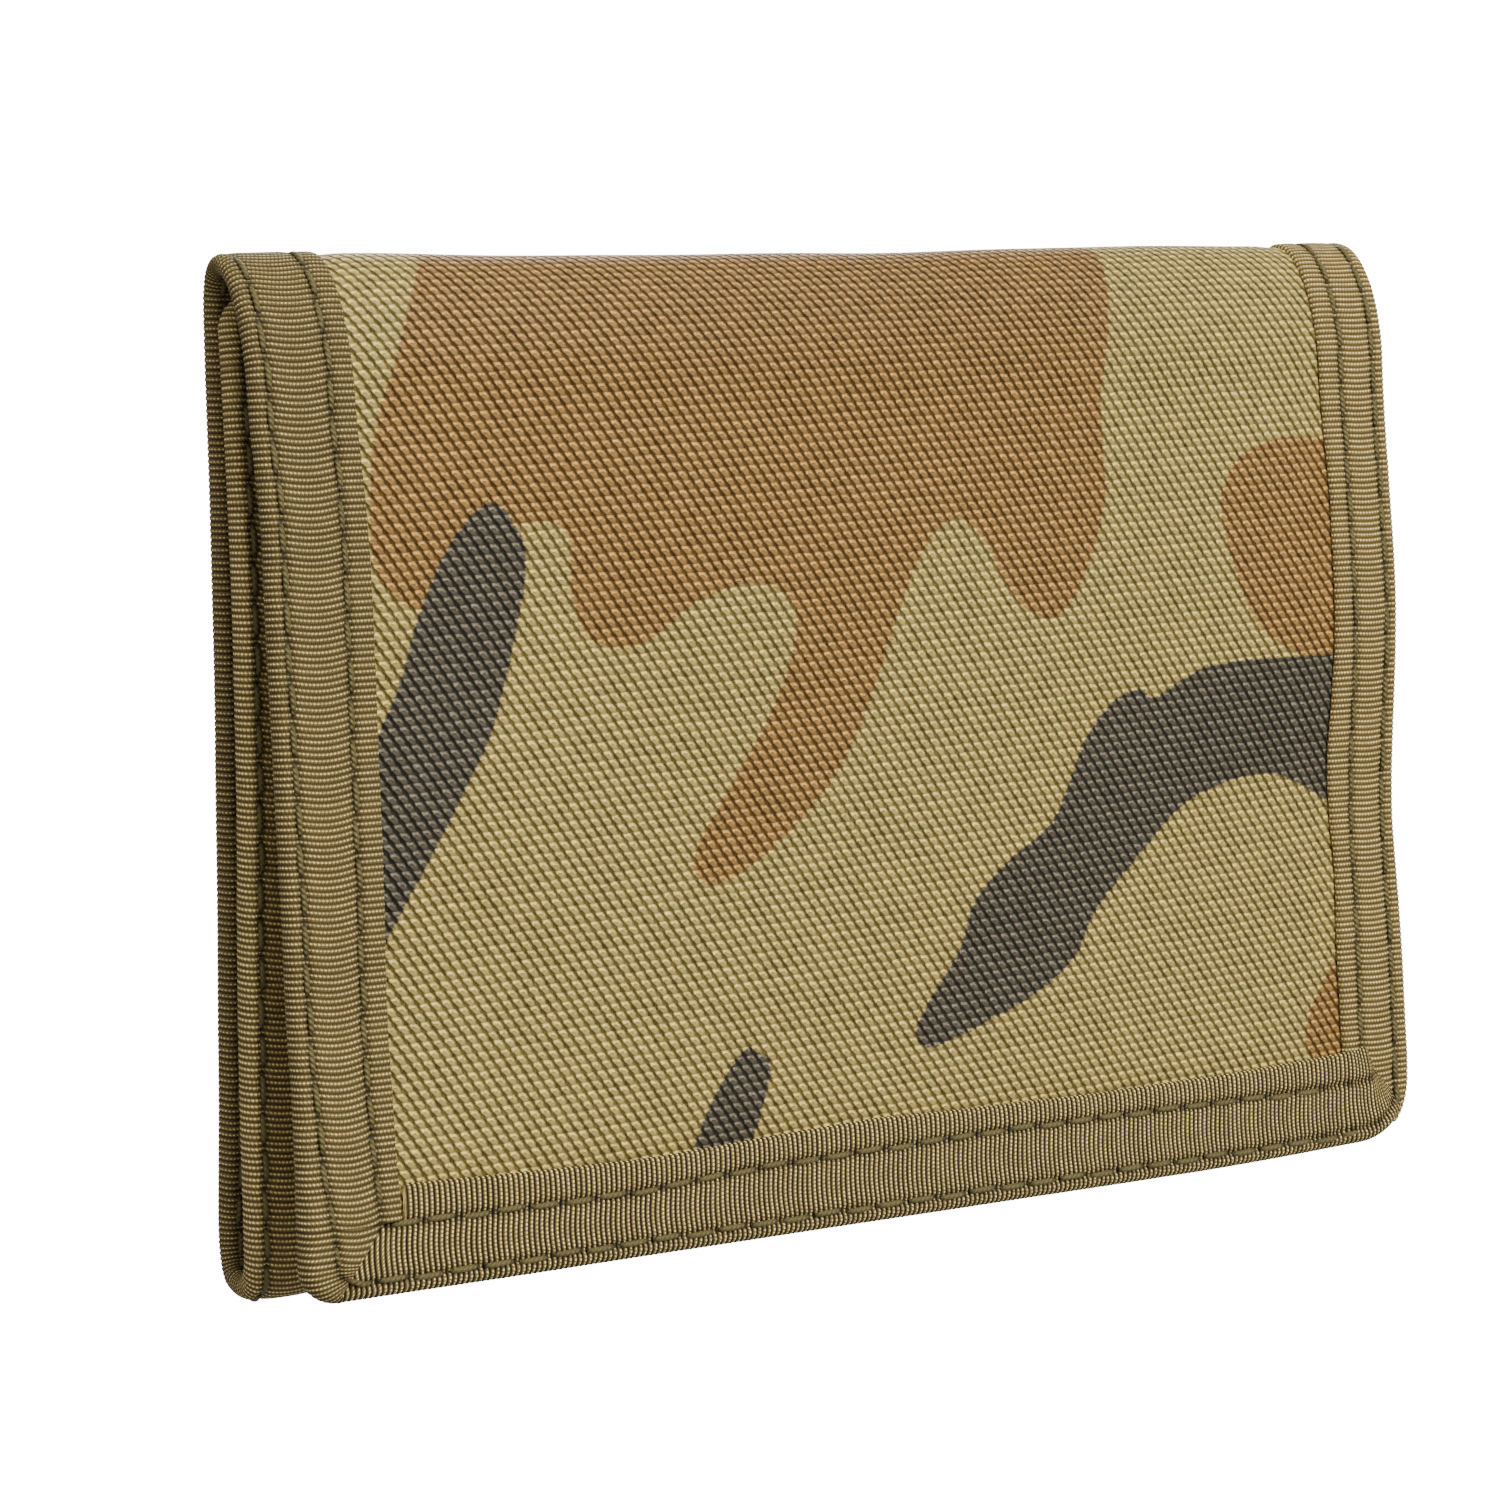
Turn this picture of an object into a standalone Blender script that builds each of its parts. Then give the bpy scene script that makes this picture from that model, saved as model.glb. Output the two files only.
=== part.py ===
"""A fabric trifold wallet: three padded panels, two folds, a zipped coin pocket and card slots.

It stands on its bottom fold with the front panel hanging from the top fold, the way such a
wallet is stood up on a shelf. X runs along the folds, -Y is the front and Z is up.
Each panel is built flat in a frame of its own: x across, y from the inner face outwards and
z from the fold to the free edge. The frames then fold the panels into place.
"""

import math

import bmesh
import bpy

MM = 0.001
QUARTER_TURN = math.radians(90)

# Overall sizes
WIDTH = 125 * MM
HEIGHT = 94 * MM
FRONT_LIFT = 2.0 * MM
FRONT_LEAN = math.radians(5.27)
FLAP_LEAN = math.radians(1.56)

# Sheets, and the clearance between one layer and the next
LAYER_GAP = 0.15 * MM
FOLD_GAP = 0.15 * MM
TAPE = 0.35 * MM
SHELL = 0.45 * MM
BOARD = 0.5 * MM
LINING = 0.35 * MM
COIN_BAG = 0.4 * MM
COIN_ROOM = 0.5 * MM
ZIP_TAPE = 0.3 * MM
SLOT_SHEET = 0.35 * MM
FILM = 0.3 * MM

# Clearances between the folded panels at the top
FLAP_UNDER_FOLD = 0.9 * MM
FLAP_TO_BACK = 0.6 * MM
FRONT_TO_FLAP = 0.6 * MM

# Edge binding and insets
TAPE_WIDTH = 9.6 * MM
EDGE_INSET = 0.5 * MM
BOARD_INSET = 5.0 * MM
HEM_RISE = 3.0 * MM
BASE_TOE = 2.3 * MM

# Card slots on the inside of the front panel
SLOT_COUNT = 3
SLOT_FIRST_MOUTH = 10 * MM
SLOT_STEP = 9 * MM
SLOT_FOOT = 57 * MM
SLOT_MARGIN = 0.6 * MM

# Clear window on the inside of the back panel
WINDOW_WIDTH = 96 * MM
WINDOW_HEIGHT = 62 * MM
WINDOW_FOOT = 12 * MM
WINDOW_BORDER = 7 * MM
WINDOW_SEAM = 3 * MM

# Hook and loop fastener
FASTENER_WIDTH = 88 * MM
FASTENER_HEIGHT = 10 * MM
FASTENER_THICK = 0.9 * MM
FASTENER_RISE = 13.5 * MM

# Zip of the coin pocket
ZIP_RISE = 27.5 * MM
ZIP_LENGTH = 92 * MM
ZIP_MOUTH = 8.4 * MM
ZIP_MARGIN = 3.5 * MM
ROW_CLEAR = 0.5 * MM
ROW_WIDTH = 1.6 * MM
ROW_THICK = 0.8 * MM
STOP_LENGTH = 2.0 * MM
STOP_WIDTH = 4.6 * MM
STOP_THICK = 0.7 * MM

# Slider and its pull
SLIDER_LENGTH = 9.0 * MM
SLIDER_WIDTH = 6.4 * MM
SLIDER_NOSE = 4.4 * MM
SLIDER_TOP = 0.6 * MM
SLIDER_FOOT = 0.35 * MM
SLIDER_POST = 0.4 * MM
SLIDER_POST_LENGTH = 3.4 * MM
BRIDGE_LENGTH = 5.4 * MM
BRIDGE_WIDTH = 1.0 * MM
BRIDGE_THICK = 0.5 * MM
PULL_LENGTH = 12.5 * MM
PULL_WIDTH = 4.4 * MM
PULL_THICK = 0.7 * MM
PULL_BAR = 0.6 * MM
PULL_EYE_LENGTH = 3.4 * MM
PULL_EYE_WIDTH = 1.8 * MM
PULL_HOLE_RADIUS = 1.1 * MM


def stack(*sheets):
    """The inner and outer side of each sheet in turn, from the inner face outwards."""
    sides = []
    level = 0.0
    for sheet in sheets:
        sides.append((level, level + sheet))
        level += sheet + LAYER_GAP
    return sides


# Levels through the panels, from the inner face outwards
INNER_LEAF, LINING_LEVEL, BOARD_LEVEL, SHELL_LEVEL, OUTER_LEAF = stack(TAPE, LINING, BOARD, SHELL, TAPE)
PANEL_THICK = OUTER_LEAF[1]
FLAP_LEVELS = stack(TAPE, LINING, COIN_BAG, COIN_ROOM, ZIP_TAPE, SHELL, TAPE)
FLAP_THICK = FLAP_LEVELS[-1][1]

# Where the folds lie
HALF = WIDTH / 2
FOLD_INNER = HEIGHT - PANEL_THICK
FLAP_TOP = FOLD_INNER - FLAP_UNDER_FOLD
FLAP_RISE = FLAP_TOP - PANEL_THICK
FLAP_DEPTH = FLAP_THICK / math.cos(FLAP_LEAN)
FLAP_SHIFT = FLAP_RISE * math.tan(FLAP_LEAN)
FLAP_LENGTH = FLAP_RISE / math.cos(FLAP_LEAN)
TOP_FOLD_WIDTH = (
    FLAP_TO_BACK + FLAP_DEPTH + FRONT_TO_FLAP - FLAP_UNDER_FOLD * math.tan(FRONT_LEAN)
)
BOTTOM_FOLD_WIDTH = FLAP_TO_BACK + FLAP_SHIFT
FRONT_TURN = FOLD_INNER - FRONT_LIFT + PANEL_THICK * math.sin(FRONT_LEAN)
FRONT_LENGTH = FRONT_TURN / math.cos(FRONT_LEAN)
FRONT_REACH = FRONT_LENGTH * math.sin(FRONT_LEAN) + PANEL_THICK * math.cos(FRONT_LEAN)
DEPTH = PANEL_THICK + TOP_FOLD_WIDTH + FRONT_REACH
BACK_INNER = DEPTH / 2 - PANEL_THICK
FRONT_HINGE = BACK_INNER - TOP_FOLD_WIDTH
FLAP_HINGE = BACK_INNER - BOTTOM_FOLD_WIDTH


def clear_scene():
    for item in list(bpy.data.objects):
        bpy.data.objects.remove(item, do_unlink=True)


def material(name, colour, roughness, metallic=0.0, alpha=1.0):
    made = bpy.data.materials.get(name) or bpy.data.materials.new(name)
    made.use_nodes = True
    shader = made.node_tree.nodes["Principled BSDF"]
    shader.inputs["Base Color"].default_value = (*colour, 1.0)
    shader.inputs["Roughness"].default_value = roughness
    shader.inputs["Metallic"].default_value = metallic
    shader.inputs["Alpha"].default_value = alpha
    return made


def frame(name, place, turn):
    empty = bpy.data.objects.new(name, None)
    empty.empty_display_size = 10 * MM
    empty.location = place
    empty.rotation_euler = turn
    bpy.context.collection.objects.link(empty)
    return empty


def object_from(mesh_data, name, parent, finish):
    bmesh.ops.recalc_face_normals(mesh_data, faces=mesh_data.faces)
    mesh = bpy.data.meshes.new(name)
    mesh_data.to_mesh(mesh)
    mesh_data.free()
    mesh.materials.append(finish)
    made = bpy.data.objects.new(name, mesh)
    made.parent = parent
    bpy.context.collection.objects.link(made)
    return made


def bridged(first, last, name, parent, finish):
    """A solid between two outlines with the same number of points."""
    solid = bmesh.new()
    start = [solid.verts.new(point) for point in first]
    end = [solid.verts.new(point) for point in last]
    solid.faces.new(start)
    solid.faces.new(end)
    for i in range(len(start)):
        j = (i + 1) % len(start)
        solid.faces.new((start[i], start[j], end[j], end[i]))
    return object_from(solid, name, parent, finish)


def slab(name, parent, finish, x, y, z):
    """A flat sheet between two limits on each axis."""
    first = [(x[0], y[0], z[0]), (x[1], y[0], z[0]), (x[1], y[1], z[0]), (x[0], y[1], z[0])]
    last = [(a, b, z[1]) for a, b, _ in first]
    return bridged(first, last, name, parent, finish)


def channel_outline(levels, thick):
    """The U of a folded tape, as (inset from the panel's edge, level)."""
    low, high = levels
    return [
        (0, low),
        (TAPE_WIDTH, low),
        (TAPE_WIDTH, low + thick),
        (thick, low + thick),
        (thick, high - thick),
        (TAPE_WIDTH, high - thick),
        (TAPE_WIDTH, high),
        (0, high),
    ]


def side_binding(name, parent, finish, side, levels, z, mitred):
    """A tape along a side edge. At a free edge it is cut on the mitre."""
    outline = channel_outline(levels, TAPE)
    first = [(side * (HALF - inset), level, z[0]) for inset, level in outline]
    last = []
    for inset, level in outline:
        end = z[1] - inset - LAYER_GAP if mitred else z[1]
        last.append((side * (HALF - inset), level, end))
    return bridged(first, last, name, parent, finish)


def edge_binding(name, parent, finish, levels, length):
    """The tape along a free edge, mitred at both ends."""
    outline = channel_outline(levels, TAPE)
    ends = []
    for side in (-1, 1):
        ends.append(
            [(side * (HALF - inset - LAYER_GAP), level, length - inset) for inset, level in outline]
        )
    return bridged(ends[0], ends[1], name, parent, finish)


def hemmed_lining(name, parent, finish, side, z):
    """A lining bound on one side and lying free, one layer further in, on the banknote side."""
    low, high = LINING_LEVEL
    step = LINING_LEVEL[0] - INNER_LEAF[0]
    bound = -side * (HALF - TAPE - EDGE_INSET)
    rise = side * (HALF - TAPE_WIDTH - HEM_RISE)
    level = side * (HALF - TAPE_WIDTH - EDGE_INSET)
    free = side * (HALF - EDGE_INSET)
    outline = [
        (bound, low),
        (rise, low),
        (level, low - step),
        (free, low - step),
        (free, high - step),
        (level, high - step),
        (rise, high),
        (bound, high),
    ]
    first = [(x, y, z[0]) for x, y in outline]
    last = [(x, y, z[1]) for x, y in outline]
    return bridged(first, last, name, parent, finish)


def within(inset):
    """Both limits of a sheet that stops this far inside each side edge."""
    return (inset - HALF, HALF - inset)


def tape_levels(side, free_side, thick):
    """On the banknote side the tape holds the shell only, and leaves the lining free."""
    return (LINING_LEVEL[0] if side == free_side else 0, thick)


def fold_spine(tag, parent, finishes, free_side, width, toe):
    """The middle of a fold, between the two lines that it turns on. Its outer side is wider by the toe."""
    fabric, lining, tape = finishes

    def ends(level):
        spread = toe * level / PANEL_THICK
        return (FOLD_GAP - spread, width - FOLD_GAP + spread)

    near = []
    far = []
    for x, y in (
        (TAPE + EDGE_INSET - HALF, SHELL_LEVEL[0]),
        (HALF - TAPE - EDGE_INSET, SHELL_LEVEL[0]),
        (HALF - TAPE - EDGE_INSET, SHELL_LEVEL[1]),
        (TAPE + EDGE_INSET - HALF, SHELL_LEVEL[1]),
    ):
        near.append((x, y, ends(y)[0]))
        far.append((x, y, ends(y)[1]))
    bridged(near, far, tag + "_shell", parent, fabric)
    hemmed_lining(tag + "_lining", parent, lining, free_side, ends(0))
    for label, side in (("_binding_left", -free_side), ("_binding_right", free_side)):
        outline = channel_outline(tape_levels(side, free_side, PANEL_THICK), TAPE)
        near = [(side * (HALF - inset), level, ends(level)[0]) for inset, level in outline]
        far = [(side * (HALF - inset), level, ends(level)[1]) for inset, level in outline]
        bridged(near, far, tag + label, parent, tape)


def back_panel(parent, fabric, board, lining, tape, film):
    """The middle panel, which the other two fold onto, with its clear window."""
    z = (PANEL_THICK + FOLD_GAP, FOLD_INNER - FOLD_GAP)
    slab("back_shell", parent, fabric, within(TAPE + EDGE_INSET), SHELL_LEVEL, z)
    stiff = (z[0] + BOARD_INSET / 2, z[1] - BOARD_INSET / 2)
    slab("back_board", parent, board, within(BOARD_INSET), BOARD_LEVEL, stiff)
    hemmed_lining("back_lining", parent, lining, 1, z)
    for label, side in (("back_binding_left", -1), ("back_binding_right", 1)):
        levels = tape_levels(side, 1, PANEL_THICK)
        side_binding(label, parent, tape, side, levels, z, False)
    foot = z[0] + WINDOW_FOOT
    film_out = INNER_LEAF[1]
    film_in = film_out - FILM
    frame_out = film_in - LAYER_GAP
    sheet = (-WINDOW_WIDTH / 2, WINDOW_WIDTH / 2)
    inside = WINDOW_BORDER - WINDOW_SEAM
    film_x = (sheet[0] + inside, sheet[1] - inside)
    film_z = (foot + inside, foot + WINDOW_HEIGHT - inside)
    slab("window_film", parent, film, film_x, (film_in, film_out), film_z)
    ring_sheet(
        "window_frame",
        parent,
        lining,
        sheet,
        (frame_out - SLOT_SHEET, frame_out),
        (foot, foot + WINDOW_HEIGHT),
        WINDOW_BORDER,
    )


def ring_sheet(name, parent, finish, x, y, z, border):
    """A sheet with a rectangular window cut in it."""
    solid = bmesh.new()
    rings = []
    for inset in (0, border):
        corners = [
            (x[0] + inset, z[0] + inset),
            (x[1] - inset, z[0] + inset),
            (x[1] - inset, z[1] - inset),
            (x[0] + inset, z[1] - inset),
        ]
        for level in y:
            rings.append([solid.verts.new((a, level, b)) for a, b in corners])
    outer_low, outer_high, inner_low, inner_high = rings
    for i in range(4):
        j = (i + 1) % 4
        solid.faces.new((outer_low[i], outer_low[j], inner_low[j], inner_low[i]))
        solid.faces.new((outer_high[i], outer_high[j], inner_high[j], inner_high[i]))
        solid.faces.new((outer_low[i], outer_low[j], outer_high[j], outer_high[i]))
        solid.faces.new((inner_low[i], inner_low[j], inner_high[j], inner_high[i]))
    return object_from(solid, name, parent, finish)


def front_panel(parent, fabric, board, lining, tape, hook):
    """The cover panel, bound on three edges, with card slots and the hook strip inside."""
    z = (FOLD_GAP, FRONT_LENGTH - TAPE - EDGE_INSET)
    slab("front_shell", parent, fabric, within(TAPE + EDGE_INSET), SHELL_LEVEL, z)
    stiff = (z[0] + BOARD_INSET / 2, z[1] - BOARD_INSET)
    slab("front_board", parent, board, within(BOARD_INSET), BOARD_LEVEL, stiff)
    inner_end = FRONT_LENGTH - TAPE_WIDTH - EDGE_INSET
    hemmed_lining("front_lining", parent, lining, 1, (z[0], inner_end))
    for label, side in (("front_binding_left", -1), ("front_binding_right", 1)):
        levels = tape_levels(side, 1, PANEL_THICK)
        side_binding(label, parent, tape, side, levels, (FOLD_GAP, FRONT_LENGTH), True)
    edge_binding("front_binding_bottom", parent, tape, (0, PANEL_THICK), FRONT_LENGTH)
    x = within(TAPE_WIDTH + HEM_RISE + SLOT_MARGIN)
    for i in range(SLOT_COUNT):
        outer = INNER_LEAF[1] - i * (SLOT_SHEET + LAYER_GAP)
        mouth = SLOT_FIRST_MOUTH + i * SLOT_STEP
        y = (outer - SLOT_SHEET, outer)
        slab(f"card_slot_{i + 1}", parent, lining, x, y, (mouth, SLOT_FOOT))
    foot = FOLD_INNER - FASTENER_RISE
    x = (-FASTENER_WIDTH / 2, FASTENER_WIDTH / 2)
    y = (INNER_LEAF[1] - FASTENER_THICK, INNER_LEAF[1])
    slab("hook_strip", parent, hook, x, y, (foot - FASTENER_HEIGHT, foot))


def flap_panel(parent, fabric, lining, tape, loop, zip_tape, zip_plastic):
    """The tucked-in panel: a zipped coin pocket outside and the banknote lining inside."""
    _, _, bag, _, webbing, shell, _ = FLAP_LEVELS
    end = FLAP_LENGTH - TAPE - EDGE_INSET
    mouth = (ZIP_RISE - ZIP_MOUTH / 2, ZIP_RISE + ZIP_MOUTH / 2)
    x = within(TAPE + EDGE_INSET)
    slab("flap_shell_lower", parent, fabric, x, shell, (FOLD_GAP, mouth[0]))
    slab("flap_shell_upper", parent, fabric, x, shell, (mouth[1], end))
    slab("coin_bag", parent, lining, within(BOARD_INSET), bag, (BOARD_INSET, end - BOARD_INSET))
    hemmed_lining("flap_lining", parent, lining, -1, (FOLD_GAP, FLAP_LENGTH - TAPE_WIDTH - EDGE_INSET))
    for label, side in (("flap_binding_left", 1), ("flap_binding_right", -1)):
        levels = tape_levels(side, -1, FLAP_THICK)
        side_binding(label, parent, tape, side, levels, (FOLD_GAP, FLAP_LENGTH), True)
    edge_binding("flap_binding_top", parent, tape, (0, FLAP_THICK), FLAP_LENGTH)
    rise = FASTENER_RISE - PANEL_THICK
    x = (-FASTENER_WIDTH / 2, FASTENER_WIDTH / 2)
    y = (shell[1] + LAYER_GAP, shell[1] + LAYER_GAP + FASTENER_THICK)
    slab("loop_strip", parent, loop, x, y, (rise, rise + FASTENER_HEIGHT))
    x = (-ZIP_LENGTH / 2, ZIP_LENGTH / 2)
    rows = (webbing[1] + LAYER_GAP, webbing[1] + LAYER_GAP + ROW_THICK)
    row_x = (x[0] + STOP_LENGTH + LAYER_GAP, x[1] - STOP_LENGTH - LAYER_GAP)
    for label, side in (("lower", -1), ("upper", 1)):
        near = ZIP_RISE + side * ROW_CLEAR
        far = ZIP_RISE + side * (ZIP_MOUTH / 2 + ZIP_MARGIN)
        slab("zip_tape_" + label, parent, zip_tape, x, webbing, sorted((near, far)))
        edge = ZIP_RISE + side * (ROW_CLEAR + ROW_WIDTH)
        slab("zip_teeth_" + label, parent, zip_plastic, row_x, rows, sorted((near, edge)))
    stop_z = (ZIP_RISE - STOP_WIDTH / 2, ZIP_RISE + STOP_WIDTH / 2)
    stop_y = (rows[0], rows[0] + STOP_THICK)
    slab("zip_stop_left", parent, zip_plastic, (x[1] - STOP_LENGTH, x[1]), stop_y, stop_z)
    slab("zip_stop_right", parent, zip_plastic, (x[0], x[0] + STOP_LENGTH), stop_y, stop_z)


def slider_body(parent, metal):
    """Two plates round the teeth, joined by a thin post in the middle, with a bridge on top."""
    webbing = FLAP_LEVELS[4]
    rows_top = webbing[1] + LAYER_GAP + ROW_THICK
    foot = (webbing[0] - LAYER_GAP - SLIDER_FOOT, webbing[0] - LAYER_GAP)
    top = (rows_top + LAYER_GAP, rows_top + LAYER_GAP + SLIDER_TOP)
    outline = []
    for end, width in ((-1, SLIDER_WIDTH), (1, SLIDER_NOSE)):
        outline += [(end * SLIDER_LENGTH / 2, end * width / 2), (end * SLIDER_LENGTH / 2, -end * width / 2)]
    body = bridged(
        [(a, top[0], b) for a, b in outline],
        [(a, top[1], b) for a, b in outline],
        "zip_slider",
        parent,
        metal,
    )
    plate = bridged(
        [(a, foot[0], b) for a, b in outline],
        [(a, foot[1], b) for a, b in outline],
        "slider_foot_guide",
        parent,
        metal,
    )
    sink = SLIDER_FOOT / 2
    half_post = (-SLIDER_POST / 2, SLIDER_POST / 2)
    post_x = (-SLIDER_POST_LENGTH / 2, SLIDER_POST_LENGTH / 2)
    post = slab("slider_post_guide", parent, metal, post_x, (foot[1] - sink, top[0] + sink), half_post)
    under = top[1] + 2 * LAYER_GAP + PULL_THICK
    width = (-BRIDGE_WIDTH / 2, BRIDGE_WIDTH / 2)
    reach = BRIDGE_LENGTH / 2
    bar = slab(
        "slider_bridge_guide",
        parent,
        metal,
        (-reach, reach),
        (under, under + BRIDGE_THICK),
        width,
    )
    legs = []
    for end in (-1, 1):
        leg_x = sorted((end * reach, end * (reach - BRIDGE_THICK)))
        leg_y = (top[1] - sink, under + BRIDGE_THICK / 2)
        legs.append(slab(f"slider_leg_guide_{end}", parent, metal, leg_x, leg_y, width))
    for guide in (plate, post, bar, *legs):
        guide.hide_render = True
        guide.display_type = "WIRE"
        join = body.modifiers.new(guide.name, "BOOLEAN")
        join.operation = "UNION"
        join.solver = "EXACT"
        join.object = guide
    return body


def pull_tab(parent, metal):
    """A flat tab with an eye round the bridge's leg and a small hole near its tip."""
    half = PULL_THICK / 2
    z = (-PULL_WIDTH / 2, PULL_WIDTH / 2)
    tip = PULL_LENGTH - PULL_BAR / 2
    tab = slab("zip_pull", parent, metal, (-PULL_BAR / 2, tip), (-half, half), z)
    eye_x = (PULL_BAR / 2, PULL_BAR / 2 + PULL_EYE_LENGTH)
    eye_z = (-PULL_EYE_WIDTH / 2, PULL_EYE_WIDTH / 2)
    eye = slab("pull_eye_guide", parent, metal, eye_x, (-PULL_THICK, PULL_THICK), eye_z)
    circle = []
    centre = tip - 2 * PULL_HOLE_RADIUS
    for i in range(16):
        turn = math.tau * i / 16
        circle.append((centre + PULL_HOLE_RADIUS * math.cos(turn), PULL_HOLE_RADIUS * math.sin(turn)))
    hole = bridged(
        [(a, -PULL_THICK, b) for a, b in circle],
        [(a, PULL_THICK, b) for a, b in circle],
        "pull_hole_guide",
        parent,
        metal,
    )
    for guide in (eye, hole):
        guide.hide_render = True
        guide.display_type = "WIRE"
        cut = tab.modifiers.new(guide.name, "BOOLEAN")
        cut.operation = "DIFFERENCE"
        cut.solver = "EXACT"
        cut.object = guide
    return tab


def build():
    clear_scene()
    fabric = material("camouflage_shell", (0.42, 0.36, 0.2), 0.75)
    tape = material("olive_tape", (0.3, 0.25, 0.13), 0.7)
    lining = material("lining", (0.12, 0.12, 0.08), 0.8)
    board = material("stiffener", (0.5, 0.5, 0.48), 0.9)
    film = material("window_film", (0.85, 0.87, 0.88), 0.15, alpha=0.35)
    hook = material("hook_tape", (0.1, 0.1, 0.07), 0.6)
    loop = material("loop_tape", (0.14, 0.14, 0.09), 0.95)
    webbing = material("zip_tape", (0.13, 0.12, 0.07), 0.85)
    teeth = material("zip_teeth", (0.1, 0.09, 0.06), 0.45)
    brass = material("slider_metal", (0.3, 0.25, 0.15), 0.4, 1.0)

    back = frame("back_frame", (0, BACK_INNER, 0), (0, 0, 0))
    top = frame("top_fold_frame", (0, BACK_INNER, FOLD_INNER), (QUARTER_TURN, 0, 0))
    front = frame("front_frame", (0, FRONT_HINGE, FOLD_INNER), (math.pi - FRONT_LEAN, 0, 0))
    bottom = frame("bottom_fold_frame", (0, BACK_INNER, PANEL_THICK), (-QUARTER_TURN, 0, math.pi))
    flap = frame("flap_frame", (0, FLAP_HINGE, PANEL_THICK), (FLAP_LEAN, 0, math.pi))

    back_panel(back, fabric, board, lining, tape, film)
    fold_spine("top_fold", top, (fabric, lining, tape), 1, TOP_FOLD_WIDTH, 0)
    front_panel(front, fabric, board, lining, tape, hook)
    fold_spine("bottom_fold", bottom, (fabric, lining, tape), -1, BOTTOM_FOLD_WIDTH, BASE_TOE)
    flap_panel(flap, fabric, lining, tape, loop, webbing, teeth)

    slider = frame("slider_frame", slider_place(), (0, 0, 0))
    slider.parent = flap
    slider_body(slider, brass)
    pull = frame("pull_frame", (0, pull_level(), 0), (0, 0, 0))
    pull.parent = slider
    pull_tab(pull, brass)


def slider_place():
    """The slider rests against the stop at the wallet's left end, with the zip closed."""
    closed = ZIP_LENGTH / 2 - STOP_LENGTH - LAYER_GAP - SLIDER_LENGTH / 2
    return (closed, 0, ZIP_RISE)


def pull_level():
    """The pull's axis lies midway between the slider's top plate and its bridge."""
    plate = FLAP_LEVELS[4][1] + ROW_THICK + SLIDER_TOP + 2 * LAYER_GAP
    return plate + LAYER_GAP + PULL_THICK / 2


build()
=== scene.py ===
"""The looks of the trifold wallet: printed Oxford cloth, ribbed edge tape and lockstitch.

Every soft surface is laid out in three coordinates, in millimetres: x across the wallet, s along
the cover from the front's lower edge over the arch, down the back and up the flap, and a level
from the inner face outwards. place() turns them into points of the shared frame, in metres.
"""

from functools import partialmethod
import math

import bmesh
import bpy
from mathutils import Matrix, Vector
import numpy as np


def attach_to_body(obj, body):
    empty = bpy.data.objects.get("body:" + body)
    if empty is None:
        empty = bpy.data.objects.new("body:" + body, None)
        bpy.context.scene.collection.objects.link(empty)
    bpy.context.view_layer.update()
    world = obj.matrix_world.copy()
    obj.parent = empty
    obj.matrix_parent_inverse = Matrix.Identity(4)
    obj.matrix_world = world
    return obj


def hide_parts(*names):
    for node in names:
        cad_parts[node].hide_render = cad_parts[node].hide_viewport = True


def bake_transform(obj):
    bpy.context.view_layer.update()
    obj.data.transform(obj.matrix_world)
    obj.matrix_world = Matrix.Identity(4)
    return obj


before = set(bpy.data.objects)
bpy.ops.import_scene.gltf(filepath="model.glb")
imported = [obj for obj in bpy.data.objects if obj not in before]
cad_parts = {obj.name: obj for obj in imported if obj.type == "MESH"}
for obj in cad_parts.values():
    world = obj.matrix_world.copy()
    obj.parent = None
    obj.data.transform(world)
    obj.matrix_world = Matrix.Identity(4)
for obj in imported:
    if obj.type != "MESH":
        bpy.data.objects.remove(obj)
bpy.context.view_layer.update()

MM = 0.001
HALF = 62.5  # half the wallet's width
THICK = 2.6  # the level of a panel's outer face; its inner face is at 0
CLOTH_HALF, CLOTH_IN = 61.5, 1.6  # the cloth ends short of the sides and of the free edges
CLOTH_LEVEL = 2.1  # the shell cloth lies below the tape's face
TAPE, TAPE_FLAT = 9.6, 22.4  # the folded tape's outer leaf, and the whole tape unfolded
TAPE_BACK = 8.9  # the folded tape's inner leaf
RIB, END_RIB = 0.555, 0.53  # the pitch of the ribs, on the sides' tapes and on the free edges'
BEAD = 0.37  # the pitch of the beads along a rib
YARN_X, YARN_S = 1.1, 0.85  # one knuckle of the weave
STITCH = 3.5
FILL, BACKDROP = 0.42, 16.0  # the strength of the sky's light and of the white surroundings


# ---- the folded cover

def curve(p, n):
    """Points of the smooth curve through all of p but its first and last point."""
    t = np.linspace(0, 1, n, endpoint=False)[:, None]
    out = []
    for a, b, c, d in zip(p[:-3], p[1:-2], p[2:-1], p[3:]):
        m0, m1 = (c - a) / 2, (d - b) / 2
        out.append((2 * t**3 - 3 * t**2 + 1) * b + (t**3 - 2 * t**2 + t) * m0
                   + (3 * t**2 - 2 * t**3) * c + (t**3 - t**2) * m1)
    return np.vstack(out)


def spline(points, n=40):
    """A smooth open curve through points, as a dense polyline."""
    p = np.array(points, float)
    p = np.vstack([2 * p[0] - p[1], p, 2 * p[-1] - p[-2]])
    return np.vstack([curve(p, n), p[-2:-1]])


def smooth_loop(points, n=7):
    """A smooth closed curve through points."""
    p = np.array(points, float)
    return curve(np.vstack([p[-1:], p, p[:2]]), n)


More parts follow.
